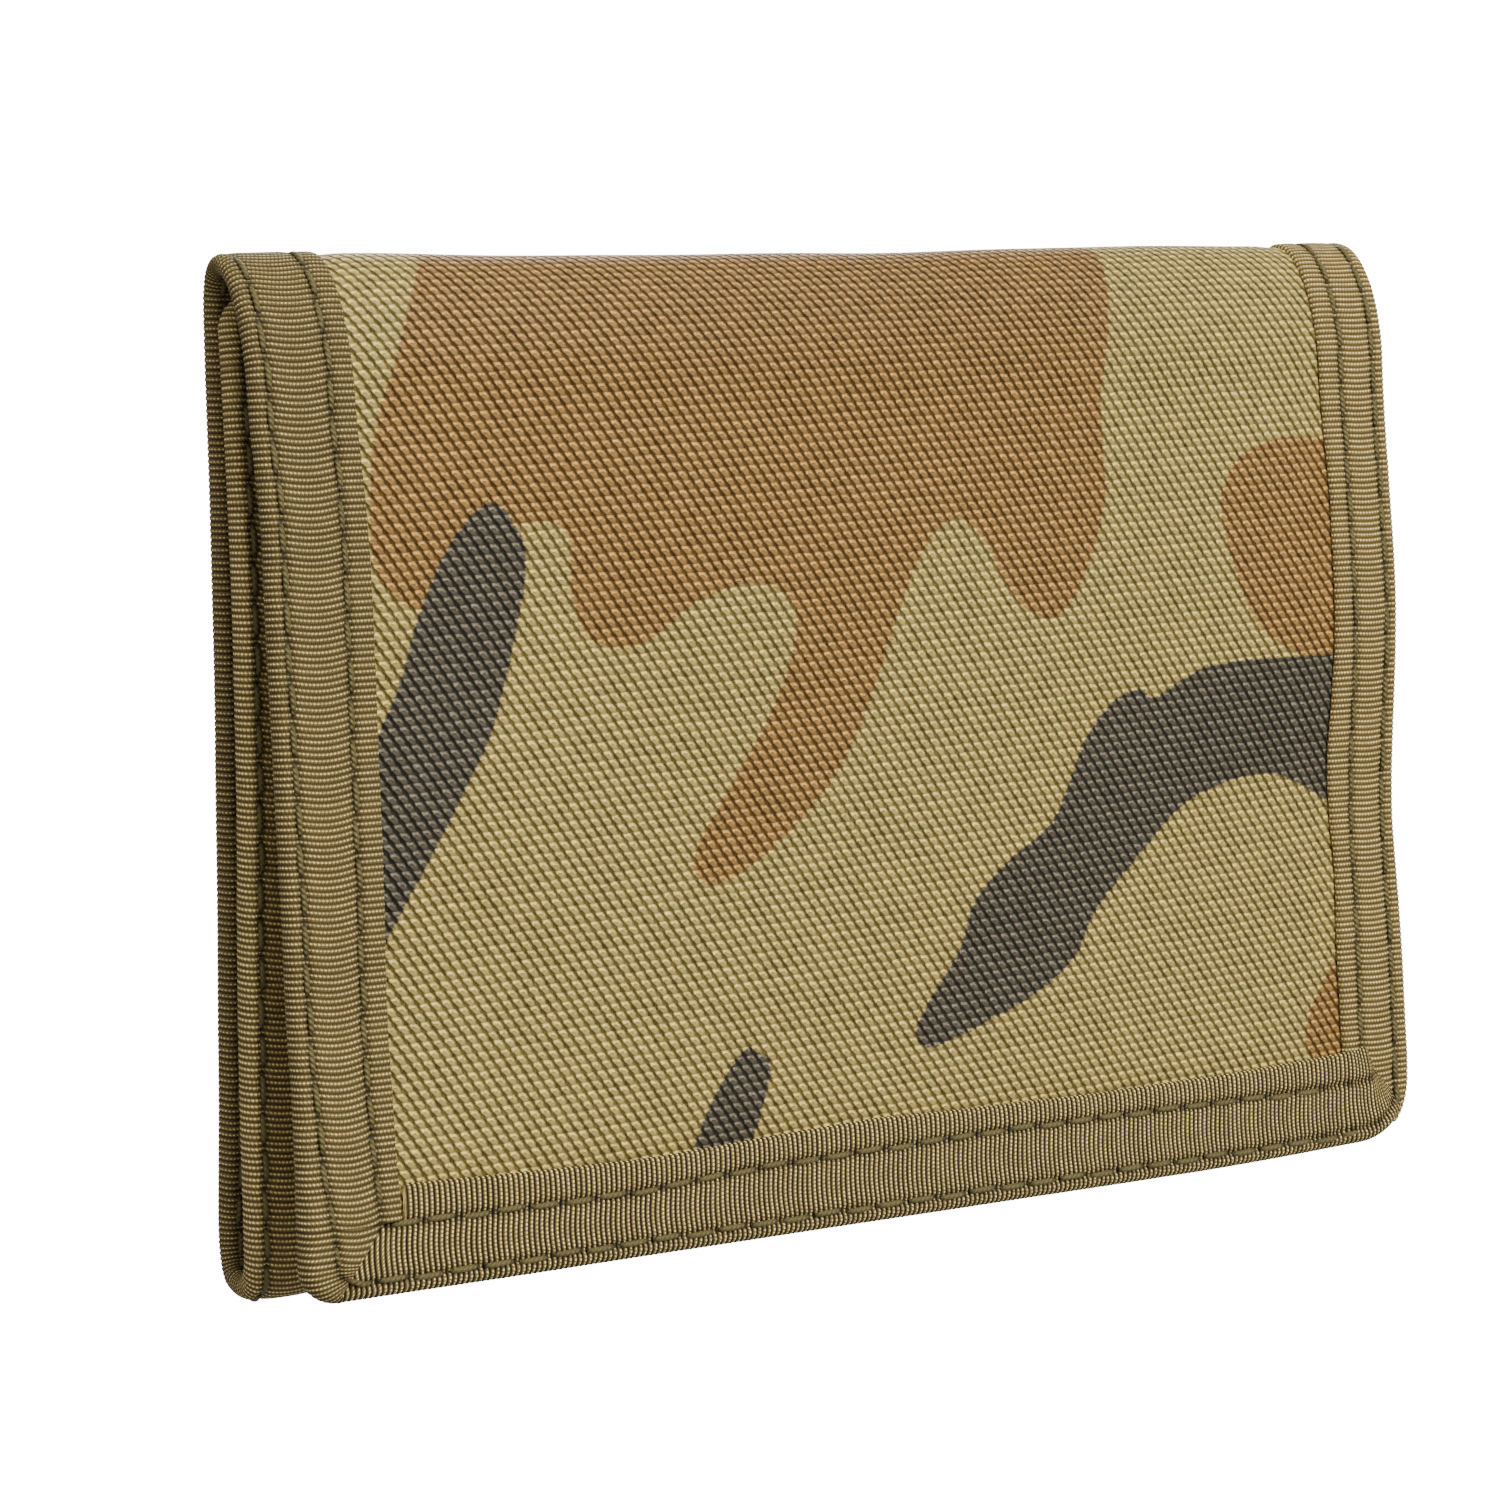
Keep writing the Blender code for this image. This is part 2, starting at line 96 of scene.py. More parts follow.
# The cover's outer face in section, as (y, z): up the front, over the arch, down the back,
# round the lower fold and up the flap.
OUTSIDE = spline([
    (-10.4, 2.4), (-9.65, 10), (-8.6, 20), (-7.45, 32), (-6.3, 44), (-5.25, 56), (-4.35, 66),
    (-3.7, 74), (-3.2, 79.5), (-2.75, 84.3), (-1.4, 88.5), (0.5, 91.5), (2.6, 93.3),
    (4.8, 93.9), (6.5, 93.4), (7.7, 91.9), (8.2, 89.4), (8.1, 84), (7.85, 74), (7.55, 62),
    (7.45, 50), (7.6, 37), (8.05, 22), (8.5, 11), (8.65, 5.6), (8.2, 2.6), (7.1, 0.75),
    (5.6, 0.1), (3.9, 0.0), (2.2, 0.35), (0.9, 1.5), (0.3, 3.6), (0.2, 7), (0.3, 14),
    (0.35, 22), (0.2, 31), (-0.1, 41), (-0.15, 50), (0.05, 60), (0.65, 72), (1.45, 80.5),
    (2.2, 87), (2.6, 90.3),
])
ALONG = np.concatenate([[0], np.cumsum(np.linalg.norm(np.diff(OUTSIDE, axis=0), axis=1))])
TURN = np.gradient(OUTSIDE, ALONG, axis=0)
TURN /= np.linalg.norm(TURN, axis=1)[:, None]
END = ALONG[-1]


def s_at(y, z, low=0.0, high=1e9):
    """The distance along the outside nearest to a point of the section."""
    near = np.hypot(OUTSIDE[:, 0] - y, OUTSIDE[:, 1] - z)
    near[(ALONG < low) | (ALONG > high)] = 1e9
    return float(ALONG[near.argmin()])


S_ARCH = s_at(4.8, 93.9)
S_BACK = s_at(7.45, 47, S_ARCH)
S_FOOT = s_at(4.7, 0.0)
S_FRONT_TOP = s_at(-1.4, 88.5, 0, S_ARCH)
# How far in the inner face lies, along s.
DEPTH_AT = [0, 60, S_FRONT_TOP, S_ARCH, S_ARCH + 8, S_ARCH + 30,
            S_FOOT - 10, S_FOOT, S_FOOT + 8, S_FOOT + 30, END - 12, END]
DEPTHS = [2.9, 2.6, 2.4, 2.2, 2.5, 2.8, 2.8, 2.2, 2.9, 3.1, 2.8, 2.6]


def bell(d, width):
    """A smooth hump of height 1 where d is 0."""
    return np.exp(-((d / width) ** 2))


def wave(x, s):
    """How far the panels swell and pucker out of their smooth section."""
    on_front = np.clip((S_ARCH - 12 - s) / 14, 0, 1)
    right = np.clip((x - 12) / 45, 0, 1)
    left = np.clip((-x - 20) / 40, 0, 1)
    dents = on_front * (1.25 * right**1.5 * bell(s - 57, 15) - 0.45 * right * bell(s - 36, 8)
                        + 0.55 * left * bell(s - 70, 10) - 0.45 * left * bell(s - 25, 9)
                        + 0.35 * np.exp(-((x / 45) ** 2) - ((s - 45) / 30) ** 2))
    sag = -0.35 * np.exp(-((x + 8) / 34) ** 2) * bell(s - S_ARCH, 9)
    soft = (0.10 * np.sin(x * 0.11 + s * 0.043) * np.sin(s * 0.087 - x * 0.031 + 1.0)
            + 0.07 * np.sin(x * 0.23 - s * 0.12 + 2.1) * np.sin(x * 0.061 + s * 0.21))
    return dents + sag + soft


def drawn_in(x, s):
    """How far sideways the hems pull the front panel."""
    left = np.interp(s, [0, 20, 66, 76, 92], [0.6, 1.2, 0.7, 0.3, 0])
    right = np.interp(s, [0, 8, 18, 33, 50, 70, 84, 94], [0.25, 0.3, 0.5, 0.9, 0.6, 0.5, 0.3, 0])
    return -np.where(x < 0, left, right) * x / HALF


def place(x, s, level):
    """Points of the frame for arrays in the cover's own coordinates."""
    x, s, level = np.broadcast_arrays(*(np.asarray(v, float) for v in (x, s, level)))
    x = x + drawn_in(x, s)
    sc = np.clip(s, 0, END)
    y, z = (np.interp(sc, ALONG, OUTSIDE[:, k]) for k in (0, 1))
    ty, tz = (np.interp(sc, ALONG, TURN[:, k]) for k in (0, 1))
    y, z = y + ty * (s - sc), z + tz * (s - sc)
    depth = np.interp(sc, DEPTH_AT, DEPTHS)
    out = np.where(level > THICK, level - THICK, (level / THICK - 1) * depth) + wave(x, s)
    return np.stack([x, y - tz * out, z + ty * out], axis=-1) * MM


# Each stretch of the cover: its s, the bodies at its two ends, and the (y, z) between which
# it bends from the one to the other. The window lies on the back alone and doesn't bend.
REGIONS = {
    "front": (0, S_ARCH, "front", "top_fold", (-1.0, 84.5), (4.6, 93.9)),
    "back_upper": (S_ARCH, S_BACK, "top_fold", "back", (5.0, 93.9), (8.4, 85.0)),
    "back_lower": (S_BACK, S_FOOT, "back", "bottom_fold", (8.6, 9.0), (5.6, 0.9)),
    "flap": (S_FOOT, END, "bottom_fold", "flap", (3.8, 0.9), (0.3, 9.0)),
    "back_whole": (S_ARCH, S_FOOT, "back", None, None, None),
}


def attach(piece, region, slot, *nodes, flat=None, held="stretched", on=()):
    """Hides the CAD nodes a piece stands in for, and ties the piece to its stretch's body where the
    stretch has only one; between two bodies it stays where it was made.

    flat is given for cloth, by the size it would be cut to.
    """
    _, _, a, b, start, end = REGIONS[region]
    if b:
        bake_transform(piece)
    else:
        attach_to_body(piece, a)
    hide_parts(*nodes)
    if flat:
        list(on)


# ---- meshes

def link(name, points, faces, finish, **values):
    """A smooth mesh piece with its finish and the values its finish reads."""
    mesh = bpy.data.meshes.new(name)
    mesh.vertices.add(points.size // 3)
    mesh.vertices.foreach_set("co", np.asarray(points, np.float32).ravel())
    faces = np.asarray(faces, np.int32)
    count, corners = faces.shape
    mesh.loops.add(faces.size)
    mesh.loops.foreach_set("vertex_index", faces.ravel())
    mesh.polygons.add(count)
    mesh.polygons.foreach_set("loop_start", np.arange(0, faces.size, corners, dtype=np.int32))
    mesh.polygons.foreach_set("loop_total", np.full(count, corners, np.int32))
    mesh.update(calc_edges=True)
    mesh.validate()
    mesh.polygons.foreach_set("use_smooth", np.ones(len(mesh.polygons), bool))
    for key, value in values.items():
        vectors = mesh.attributes.new(key, "FLOAT_VECTOR", "POINT")
        vectors.data.foreach_set("vector", np.asarray(value, np.float32).ravel())
    mesh.materials.append(finish)
    made = bpy.data.objects.new(name, mesh)
    bpy.context.scene.collection.objects.link(made)
    return made


def stacked(*columns):
    """Arrays of one size as the columns of one table."""
    return np.stack([np.ravel(c) for c in columns], axis=-1)


def grid_faces(rows, cols, flip=False):
    """The quads of a grid of points, rows by columns."""
    i = np.arange(rows - 1)[:, None] * cols + np.arange(cols - 1)[None]
    quads = np.stack([i, i + 1, i + cols + 1, i + cols], axis=-1).reshape(-1, 4)
    return quads[:, ::-1] if flip else quads


# ---- the print

def inside_by(points, loop):
    """The distance from each point to a closed outline, positive inside it."""
    best = np.full(len(points), 1e9)
    inside = np.zeros(len(points), bool)
    for p, q in zip(loop, np.roll(loop, -1, axis=0)):
        d = q - p
        t = np.clip(((points - p) @ d) / max(d @ d, 1e-12), 0, 1)
        best = np.minimum(best, np.hypot(*(points - p - t[:, None] * d).T))
        cross = (p[1] > points[:, 1]) != (q[1] > points[:, 1])
        with np.errstate(divide="ignore", invalid="ignore"):
            meets = (q[0] - p[0]) * (points[:, 1] - p[1]) / (q[1] - p[1]) + p[0]
            inside ^= cross & (points[:, 0] < meets)
    return np.where(inside, best, -best)


# Outlines of the print as it lies on the front, as (x, s).
CANOPY = [(-43.5, 94), (-42.5, 102), (-30, 108), (-8, 104), (12, 109), (27, 103), (30, 92),
          (27.5, 77), (27.5, 67), (23.5, 58), (19.5, 56), (15.5, 59.5), (13.5, 63.5), (10.5, 66),
          (7, 64), (4, 59), (-1.5, 47), (-6.5, 40.5), (-13, 35.5), (-17.5, 33.5), (-20, 34.5),
          (-19.5, 37.5), (-11.5, 48.5), (-8.5, 55), (-8.5, 59), (-12.5, 61), (-18.5, 59.5),
          (-24.5, 56), (-29.5, 56.5), (-31.5, 61), (-31.5, 66), (-34.5, 67.5), (-42, 66),
          (-44.5, 61), (-46.5, 60), (-49.5, 62), (-51, 65.5), (-50.5, 75), (-47, 85)]
PATCH = [(65.5, 72), (57, 72), (50.5, 72.5), (45.5, 71.5), (42, 68.5), (41.5, 64), (44.5, 55),
         (49.5, 51), (56.5, 48.5), (65.5, 47)]
SCRAP = [(64, 21), (55.5, 20), (52, 17), (50, 13.5), (50, 10.5), (55, 8.5), (64, 8)]
BLADE = [(-39.5, 69.5), (-37, 67.5), (-36, 63), (-39.5, 50.5), (-43, 44), (-50.5, 32.5),
         (-54, 26), (-57, 30), (-56, 38), (-53.5, 45), (-49, 54), (-47, 59.5), (-43.5, 66)]
BRANCH = [(66, 50.5), (56, 50.5), (41, 50.5), (35.5, 49), (32.5, 47.5), (30.5, 48.5),
          (27.5, 47.5), (24, 44), (22, 40), (19.5, 36), (14.5, 33), (10.5, 29.5), (8.5, 25),
          (3.5, 18.5), (3.5, 16.5), (6, 16), (16.5, 19.5), (22, 23), (24.5, 27), (30, 32),
          (36.5, 37), (45, 39), (50.5, 37.5), (57, 33.5), (66, 28)]
TWIG = [(-15.5, 18), (-13, 16.5), (-13.5, 13.5), (-17.5, 4), (-22.5, 3), (-21, 10.5), (-18, 15.5)]


def moved(loop, flip, turn, dx, ds):
    """A copy of an outline, mirrored, turned and shifted, for the repeat of the print."""
    p = np.array(loop, float)
    if flip:
        p[:, 0] = -p[:, 0]
    c, k = math.cos(math.radians(turn)), math.sin(math.radians(turn))
    return p @ np.array([[c, k], [-k, c]]) + (dx, ds)


AS_IS = (0, 0, 0, 0)
BROWN = [moved(loop, *move) for loop, move in (
    (CANOPY, AS_IS), (PATCH, AS_IS), (SCRAP, AS_IS),
    (CANOPY, (1, 172, 6, 224)), (PATCH, (1, 0, -6, 78)), (CANOPY, (0, 8, 24, 186)),
    (PATCH, (0, 180, 20, 292)), (SCRAP, (1, 12, 8, 182)), (PATCH, (0, -16, 8, 64)))]
GREY = [moved(loop, *move) for loop, move in (
    (BLADE, AS_IS), (BRANCH, AS_IS), (TWIG, AS_IS),
    (BLADE, (1, -14, 8, 118)), (BRANCH, (1, 6, 12, 150)), (TWIG, (0, 24, 30, 112)),
    (BLADE, (0, 70, 10, 226)), (BRANCH, (0, -8, -16, 248)), (TWIG, (1, 40, 12, 262)))]
FADE = 4.0  # the distance from an outline beyond which only its side counts


def printed(x, s):
    """Signed distances into the brown and the grey of the print."""
    lean = np.interp(s, [0, 20, 70, 84, 92], [0.8, 0.74, 0.7, 0.5, 0])
    points = stacked(x + drawn_in(x, s) + lean, s)
    fields = []
    for loops in (BROWN, GREY):
        best = np.full(len(points), -1e9)
        for loop in loops:
            near = ((points > loop.min(0) - FADE) & (points < loop.max(0) + FADE)).all(axis=1)
            if near.any():
                best[near] = np.maximum(best[near], inside_by(points[near], smooth_loop(loop)))
        fields.append(np.clip(best, -FADE, FADE))
    return fields


# ---- finishes

def feed(target, value):
    """Gives an input a node's output or a plain value."""
    if isinstance(value, Value):
        target.id_data.links.new(value.socket, target)
    else:
        target.default_value = value


def make(tree, kind, inputs, **settings):
    """A new node with these inputs and settings; gives its outputs."""
    node = tree.nodes.new("ShaderNode" + kind)
    for key, value in settings.items():
        setattr(node, key, value)
    for key, value in inputs.items():
        feed(node.inputs[key], value)
    return [Value(socket) for socket in node.outputs]


class Value:
    """A node's output. Arithmetic with it makes the nodes that work out the result."""

    def __init__(self, socket):
        self.socket, self.tree = socket, socket.id_data

    def math(self, operation, *others):
        inputs = dict(enumerate((self, *others)))
        return make(self.tree, "Math", inputs, operation=operation)[0]

    __add__ = __radd__ = partialmethod(math, "ADD")
    __sub__ = partialmethod(math, "SUBTRACT")
    __mul__ = partialmethod(math, "MULTIPLY")
    __truediv__ = partialmethod(math, "DIVIDE")
    __mod__ = partialmethod(math, "FLOORED_MODULO")
    __abs__ = partialmethod(math, "ABSOLUTE")
    floor = partialmethod(math, "FLOOR")
    fract = partialmethod(math, "FRACT")
    sine = partialmethod(math, "SINE")
    larger = partialmethod(math, "MAXIMUM")

    def step(self, low, high, a=0.0, b=1.0):
        """A smooth change from a to b as the value goes from low to high."""
        inputs = dict(enumerate((self, low, high, a, b)))
        return make(self.tree, "MapRange", inputs, interpolation_type="SMOOTHSTEP")[0]

    def noise(self, scale=1.0, detail=2.0):
        return make(self.tree, "TexNoise", {"Vector": self, "Scale": scale, "Detail": detail})[0]

    def random(self):
        """One even random number for each value of a vector."""
        return make(self.tree, "TexWhiteNoise", {"Vector": self})[0]

    def mix(self, a, b):
        """The colour this far on the way from a to b."""
        return make(self.tree, "Mix", {0: self, 6: a, 7: b}, data_type="RGBA")[2]


def joined(x, y, z=0.0):
    return make(x.tree, "CombineXYZ", {0: x, 1: y, 2: z})[0]


def shaded(colour, factor):
    """A colour made lighter or darker by a factor."""
    inputs = {0: 1.0, 6: colour, 7: joined(factor, factor, factor)}
    return make(factor.tree, "Mix", inputs, data_type="RGBA", blend_type="MULTIPLY")[2]


class Finish:
    """A material built node by node."""

    def __init__(self, name, roughness, specular, sheen=0.0, metallic=0.0):
        self.material = bpy.data.materials.new(name)
        self.material.use_nodes = True
        self.tree = self.material.node_tree
        self.set("Roughness", roughness)
        self.set("Specular IOR Level", specular)
        self.set("Sheen Weight", sheen)
        self.set("Metallic", metallic)

    def set(self, socket, value):
        feed(self.tree.nodes["Principled BSDF"].inputs[socket], value)

    def parts(self, name):
        """The three numbers that a piece carries under this name."""
        vector = make(self.tree, "Attribute", {}, attribute_name=name)[1]
        return make(self.tree, "SeparateXYZ", {0: vector})

    def bump(self, height, distance):
        inputs = {"Strength": 1.0, "Distance": distance, "Height": height}
        self.set("Normal", make(self.tree, "Bump", inputs)[0])


def rgb(r, g, b):
    """A colour given as it looks, in the shader's linear terms."""
    linear = (((c / 255 + 0.055) / 1.055) ** 2.4 if c > 10 else c / 3294 for c in (r, g, b))
    return (*linear, 1.0)


KHAKI = rgb(199, 178, 105), rgb(191, 169, 97)
TAN = rgb(168, 129, 71), rgb(160, 121, 64)
DARK = rgb(91, 85, 73), rgb(80, 75, 63)


def weave(x, s):
    """Oxford weave: knuckles in a brick pattern, joined into slanting chains with a deep gap
    between. Gives the height, the crown of each knuckle, and its column and row. The cloth's
    colour is darkened by the height as painted shade and lit at the crown as a painted highlight."""
    # v counts the rows and u the columns. q runs up a knuckle and p across its chain, each
    # from -0.5 to 0.5.
    u, v = x / YARN_X, (x * -0.035 + s) / YARN_S
    iv = v.floor()
    iu = (u + iv % 2.0 * 0.5).floor()
    q = v - iv - 0.5
    p = (v * 0.5 + u + 99.75).fract() - 0.5
    chain = (abs(p) + q.step(-0.48, 0.12, 0.09, 0.0)).step(0.22, 0.49, 1.0, 0.0)
    crown = abs(q - (p * p * -1.5 + 0.30)).step(0.05, 0.24, 1.0, 0.0)
    # shoulder spreads the crown's painted highlight onto one side; foot lowers each knuckle's lower
    # part, which the cloth also darkens as painted shade.
    shoulder = p.step(0.06, 0.20) * q.step(-0.25, 0.05)
    foot = q.step(-0.5, -0.25, 0.80, 1.0)
    return chain * foot, crown.larger(shoulder * 0.6) * chain, iu, iv


def oxford():
    """The printed Oxford cloth of the shell."""
    f = Finish("printed_oxford", roughness=0.6, specular=0.5, sheen=0.04)
    x, s, _ = f.parts("fab")
    # ink holds the distances into the brown and the grey of the print, and the painted shade near the
    # top of the arch.
    *inks, shade = f.parts("ink")
    flat = joined(x, s)
    drift = (flat.noise(0.8) - 0.5) * 0.34
    high, crown, iu, iv = weave(x + drift, s + drift * -1.1)
    soak = (flat.noise(2.2) - 0.5) * 0.8
    brown, grey = ((ink + soak).step(-0.16, 0.2) for ink in inks)
    ground, tan, dark = (flat.noise(scale, 3.0).mix(*pair) for scale, pair in (
        (0.05, KHAKI), (0.06, TAN), (0.08, DARK)))
    knot = joined(iu, iv).random()
    streak, painted_glint = joined(x * 11.0, s * 2.2).noise(), joined(x * 4.2, s * 3.6).noise()
    painted_highlight_gain = grey * 0.45 + (brown * 0.15 + 1.0)
    painted_highlight = painted_glint.step(0.3, 0.7) * 1.4 + (knot * 0.4 + 0.26)
    # Painted shade and highlight: the cloth is darker where the weave is low, in its gaps and at each
    # knuckle's foot, and lighter at each crown, with glints, more so on the grey and the brown of the
    # print.
    tone = high * 0.58 + 0.215 + crown * painted_highlight_gain * painted_highlight + (knot - 0.5) * 0.14
    tone = (tone + (streak - 0.5) * 0.55).larger(0.05)
    f.set("Base Color", shaded(grey.mix(brown.mix(ground, tan), dark), tone * shade))
    f.set("Roughness", high * -0.16 + 0.66)
    f.set("Specular IOR Level", high * 0.45 + 0.08)
    f.bump(streak * 0.14 + (crown * 0.45 + high), 0.0002)
    return f.material


def grosgrain(name, depth, pitch, second_line, wide):
    """The ribbed edge tape: a painted beaded highlight on each rib, painted shade between ribs.

    depth is the contrast of the two, second_line lightens a fine line in the groove, and wide
    widens the groove.
    """
    f = Finish(name, roughness=0.6, specular=0.4, sheen=0.02)
    t, w, shade = f.parts("fab")
    flat = joined(t, w)
    u = t / pitch
    iu = u.floor()
    p, wrapped = u - iu, (u + 0.5).fract()
    crest = p.step(0.35, 0.47) * p.step(0.58, 0.72, 1.0, 0.0)
    groove = p.step(0.02, 0.18 + wide, 1.0, 0.0).larger(p.step(0.80 - wide, 0.97))
    second = wrapped.step(0.38, 0.46) * wrapped.step(0.54, 0.62, 1.0, 0.0)
    lean = joined(iu, 3.0).random()
    shift = lean * 1.4 + iu % 2.0 * math.pi
    beads = (w * (2 * math.pi / BEAD) + shift).sine().step(-0.7, 0.5)
    fine = (w * (4 * math.pi / BEAD) + p * 9.0).sine() * 0.5 + 0.5
    colour = flat.noise(0.55, 3.0).mix(rgb(155, 139, 89), rgb(147, 122, 77))
    # Painted light: the crest's colour is a paler highlight and the groove's colour is a dark shade.
    colour = (crest * 0.7).mix(colour, rgb(190, 174, 119))
    colour = (groove * 0.8).mix(colour, rgb(88, 70, 29))
    # bright is the crest's painted highlight and groove the painted shade between ribs; depth sets
    # how strong both are.
    bright = crest * flat.noise(0.9).step(0.3, 0.7, 0.5, 1.3)
    tone = 0.76 + bright * (beads * (0.85 * depth) + 0.12) - groove * (0.42 * min(depth, 1.5))
    tone = (tone + second * second_line + (fine - 0.5) * 0.26) * (beads * 0.42 + 0.76)
    tone = (tone + (lean - 0.5) * 0.14).larger(0.05)
    f.set("Base Color", shaded(colour, tone * shade))
    f.set("Roughness", crest * -0.15 + 0.66)
    f.set("Specular IOR Level", groove * -0.35 + 0.4)
    f.bump(crest * beads + fine * 0.4, 0.00008)
    return f.material


def sewing_thread():
    """Twisted thread, with painted shade at its ends where it goes down into the cloth."""
    f = Finish("sewing_thread", roughness=0.5, specular=0.45, sheen=0.05)
    t, w, arch = f.parts("fab")
    twist = (t * (2 * math.pi / 0.55) + w * 2.0).sine()
    colour = joined(t, w).noise(0.2).mix(rgb(116, 106, 62), rgb(84, 77, 44))
    # The thread's ends get painted shade where they go down into the cloth.
    f.set("Base Color", shaded(colour, (twist * 0.16 + 0.92) * arch.step(0.2, 0.75, 0.22, 1.12)))
    f.bump(twist, 0.00005)
    return f.material


def taffeta(name, light, dark, pitch, sheen=0.12):
    """A fine plain weave: crossing yarns of one colour."""
    f = Finish(name, roughness=0.55, specular=0.4, sheen=sheen)
    x, s, shade = f.parts("fab")
    u, v = x / pitch, s / pitch
    over = (u.floor() + v.floor()) % 2.0
    hump_u, hump_v = (abs((k * math.pi).sine()) for k in (u, v))
    warp, weft = hump_u * (hump_v * 0.4 + 0.6), hump_v * (hump_u * 0.4 + 0.6)
    high = warp * over + weft * (over * -1.0 + 1.0)
    slub = joined(x * 3.0, s * 0.35).noise()
    tone = high * 0.42 + 0.72 + (slub - 0.5) * 0.22 + (over - 0.5) * 0.10
    colour = joined(x, s).noise(0.06, 3.0).mix(rgb(*light), rgb(*dark))
    f.set("Base Color", shaded(colour, tone * shade))
    f.set("Roughness", high * -0.12 + 0.62)
    f.bump(high, 0.00006)
    return f.material


def clear_film():
    """Clear plastic film, a little wavy, with faint scuffs across it."""
    f = Finish("clear_film", roughness=0.12, specular=0.5)
    x, s, _ = f.parts("fab")
    scuff = joined(x * 0.7, s * 3.5).noise(1.0, 4.0).step(0.55, 0.8)
    f.set("Base Color", scuff.mix(rgb(222, 226, 224), rgb(240, 242, 240)))
    f.set("Alpha", scuff * 0.16 + 0.24)
    f.set("Roughness", scuff * 0.25 + 0.10)
    f.bump(scuff * 0.01 + joined(x * 0.06, s * 0.10).noise(), 0.0012)
    return f.material


def nylon(name, light, dark, roughness):
    """Moulded nylon: a faint mottle and fine drawn lines."""
    f = Finish(name, roughness=roughness, specular=0.5)
    t, w, _ = f.parts("fab")
    lines = joined(t * 9.0, w).noise()
    f.set("Base Color", joined(t, w).noise(0.5, 3.0).mix(rgb(*light), rgb(*dark)))
    f.set("Roughness", lines * 0.2 + (roughness - 0.1))
    f.bump(lines, 0.00002)
    return f.material


def bronze():
    """Dark lacquered die-cast metal, worn brighter in scattered spots."""
    f = Finish("lacquered_bronze", roughness=0.35, specular=0.5, metallic=0.85)
    where = make(f.tree, "TexCoord", {})[3]  # in the piece's own coordinates
    fine, broad = where.noise(2600.0, 3.0), where.noise(420.0, 3.0)
    wear = broad.step(0.56, 0.72) * 0.5
    f.set("Base Color", wear.mix(rgb(104, 95, 76), rgb(168, 146, 104)))
    f.set("Roughness", fine * 0.22 + 0.28)
    f.bump(fine, 0.00001)
    return f.material


OXFORD, THREAD = oxford(), sewing_thread()
LINING = taffeta("fine_lining", (132, 127, 96), (116, 112, 84), 0.30)
WEBBING = taffeta("zip_tape", (118, 110, 82), (104, 97, 70), 0.42, 0.06)
HOOK_BASE = taffeta("hook_base", (98, 97, 78), (86, 85, 68), 0.5, 0.0)
LOOP_BASE = taffeta("loop_base", (106, 102, 82), (94, 90, 72), 0.5, 0.1)
HOOKS = nylon("hooks", (112, 110, 88), (92, 91, 72), 0.45)
LOOPS = nylon("loops", (128, 122, 98), (100, 96, 76), 0.6)
COIL = nylon("zip_coil", (112, 103, 76), (92, 85, 62), 0.42)
FILM, BRONZE = clear_film(), bronze()
# The free edges' tapes get stronger painted highlights and shade on their ribs than the sides' tapes.
GROSGRAIN = grosgrain("edge_tape", depth=2.0, pitch=RIB, second_line=0.75, wide=0.05)
END_TAPE = grosgrain("end_tape", depth=3.4, pitch=END_RIB, second_line=0.0, wide=0.14)


# ---- cloth, plies and threads

LEFT_CORNER, RIGHT_CORNER = 3.4, 6.6  # the radii of the free corners
TRIM_FROM = 46  # the cloth is drawn in beyond this, for the corners


def rounded_in(d, radius):
    """How far a rounded corner draws the edge in, at a distance d from the other edge."""
    k = np.clip(radius - d, 0, radius)
    return radius - np.sqrt(np.maximum(radius**2 - k**2, 0))


def trimmed(x, s):
    """Cloth cut round at the free corners, inside the tape's own curve."""
    free = np.minimum(s, END - s) - 1.0
    limit = np.where(x < 0, rounded_in(free, LEFT_CORNER), rounded_in(free, RIGHT_CORNER))
    beyond = np.maximum(np.abs(x) - TRIM_FROM, 0)
    inside = np.minimum(np.abs(x), TRIM_FROM)
    return np.sign(x) * (inside + beyond * (1 - limit / (CLOTH_HALF - TRIM_FROM)))


def skin(name, x_limits, s_limits, level, finish, step=1.0, flip=False, lift=None, hole=None):
    """One panel of cloth as a fine sheet that follows the cover, perhaps with a window in it."""
    line = lambda a, b: np.linspace(a, b, max(2, int(round((b - a) / step)) + 1))
    xs, ss = line(*x_limits), line(*s_limits)
    if hole:
        xs, ss = (np.unique(np.round(np.concatenate([line(a, c), line(c, d), line(d, b)]), 6))
                  for (a, b), (c, d) in ((x_limits, hole[:2]), (s_limits, hole[2:])))
    x, s = np.meshgrid(xs, ss)
    x = trimmed(x, s)
    up = np.full(x.shape, float(level)) + (lift(x, s) if lift else 0)
    faces = grid_faces(len(ss), len(xs), flip)
    if hole:
        mx, ms = x.ravel()[faces].mean(axis=1), s.ravel()[faces].mean(axis=1)
        faces = faces[~((mx > hole[0]) & (mx < hole[1]) & (ms > hole[2]) & (ms < hole[3]))]
        used, faces = np.unique(faces, return_inverse=True)
        faces = faces.reshape(-1, 4)
        x, s, up = (k.ravel()[used] for k in (x, s, up))
    values = {"fab": stacked(x, s, np.ones(x.size))}
    if finish is OXFORD:
        # Painted shade: the printed cloth is darker near the top of the arch, in the middle of its
        # width. It rides as the third number of ink.
        shade = 1 - 0.17 * np.exp(-(((s - 88) / 9) ** 2) - (x / 45) ** 2)
        values["ink"] = stacked(*printed(x, s), shade)
    return link(name, place(x, s, up), faces, finish, **values)


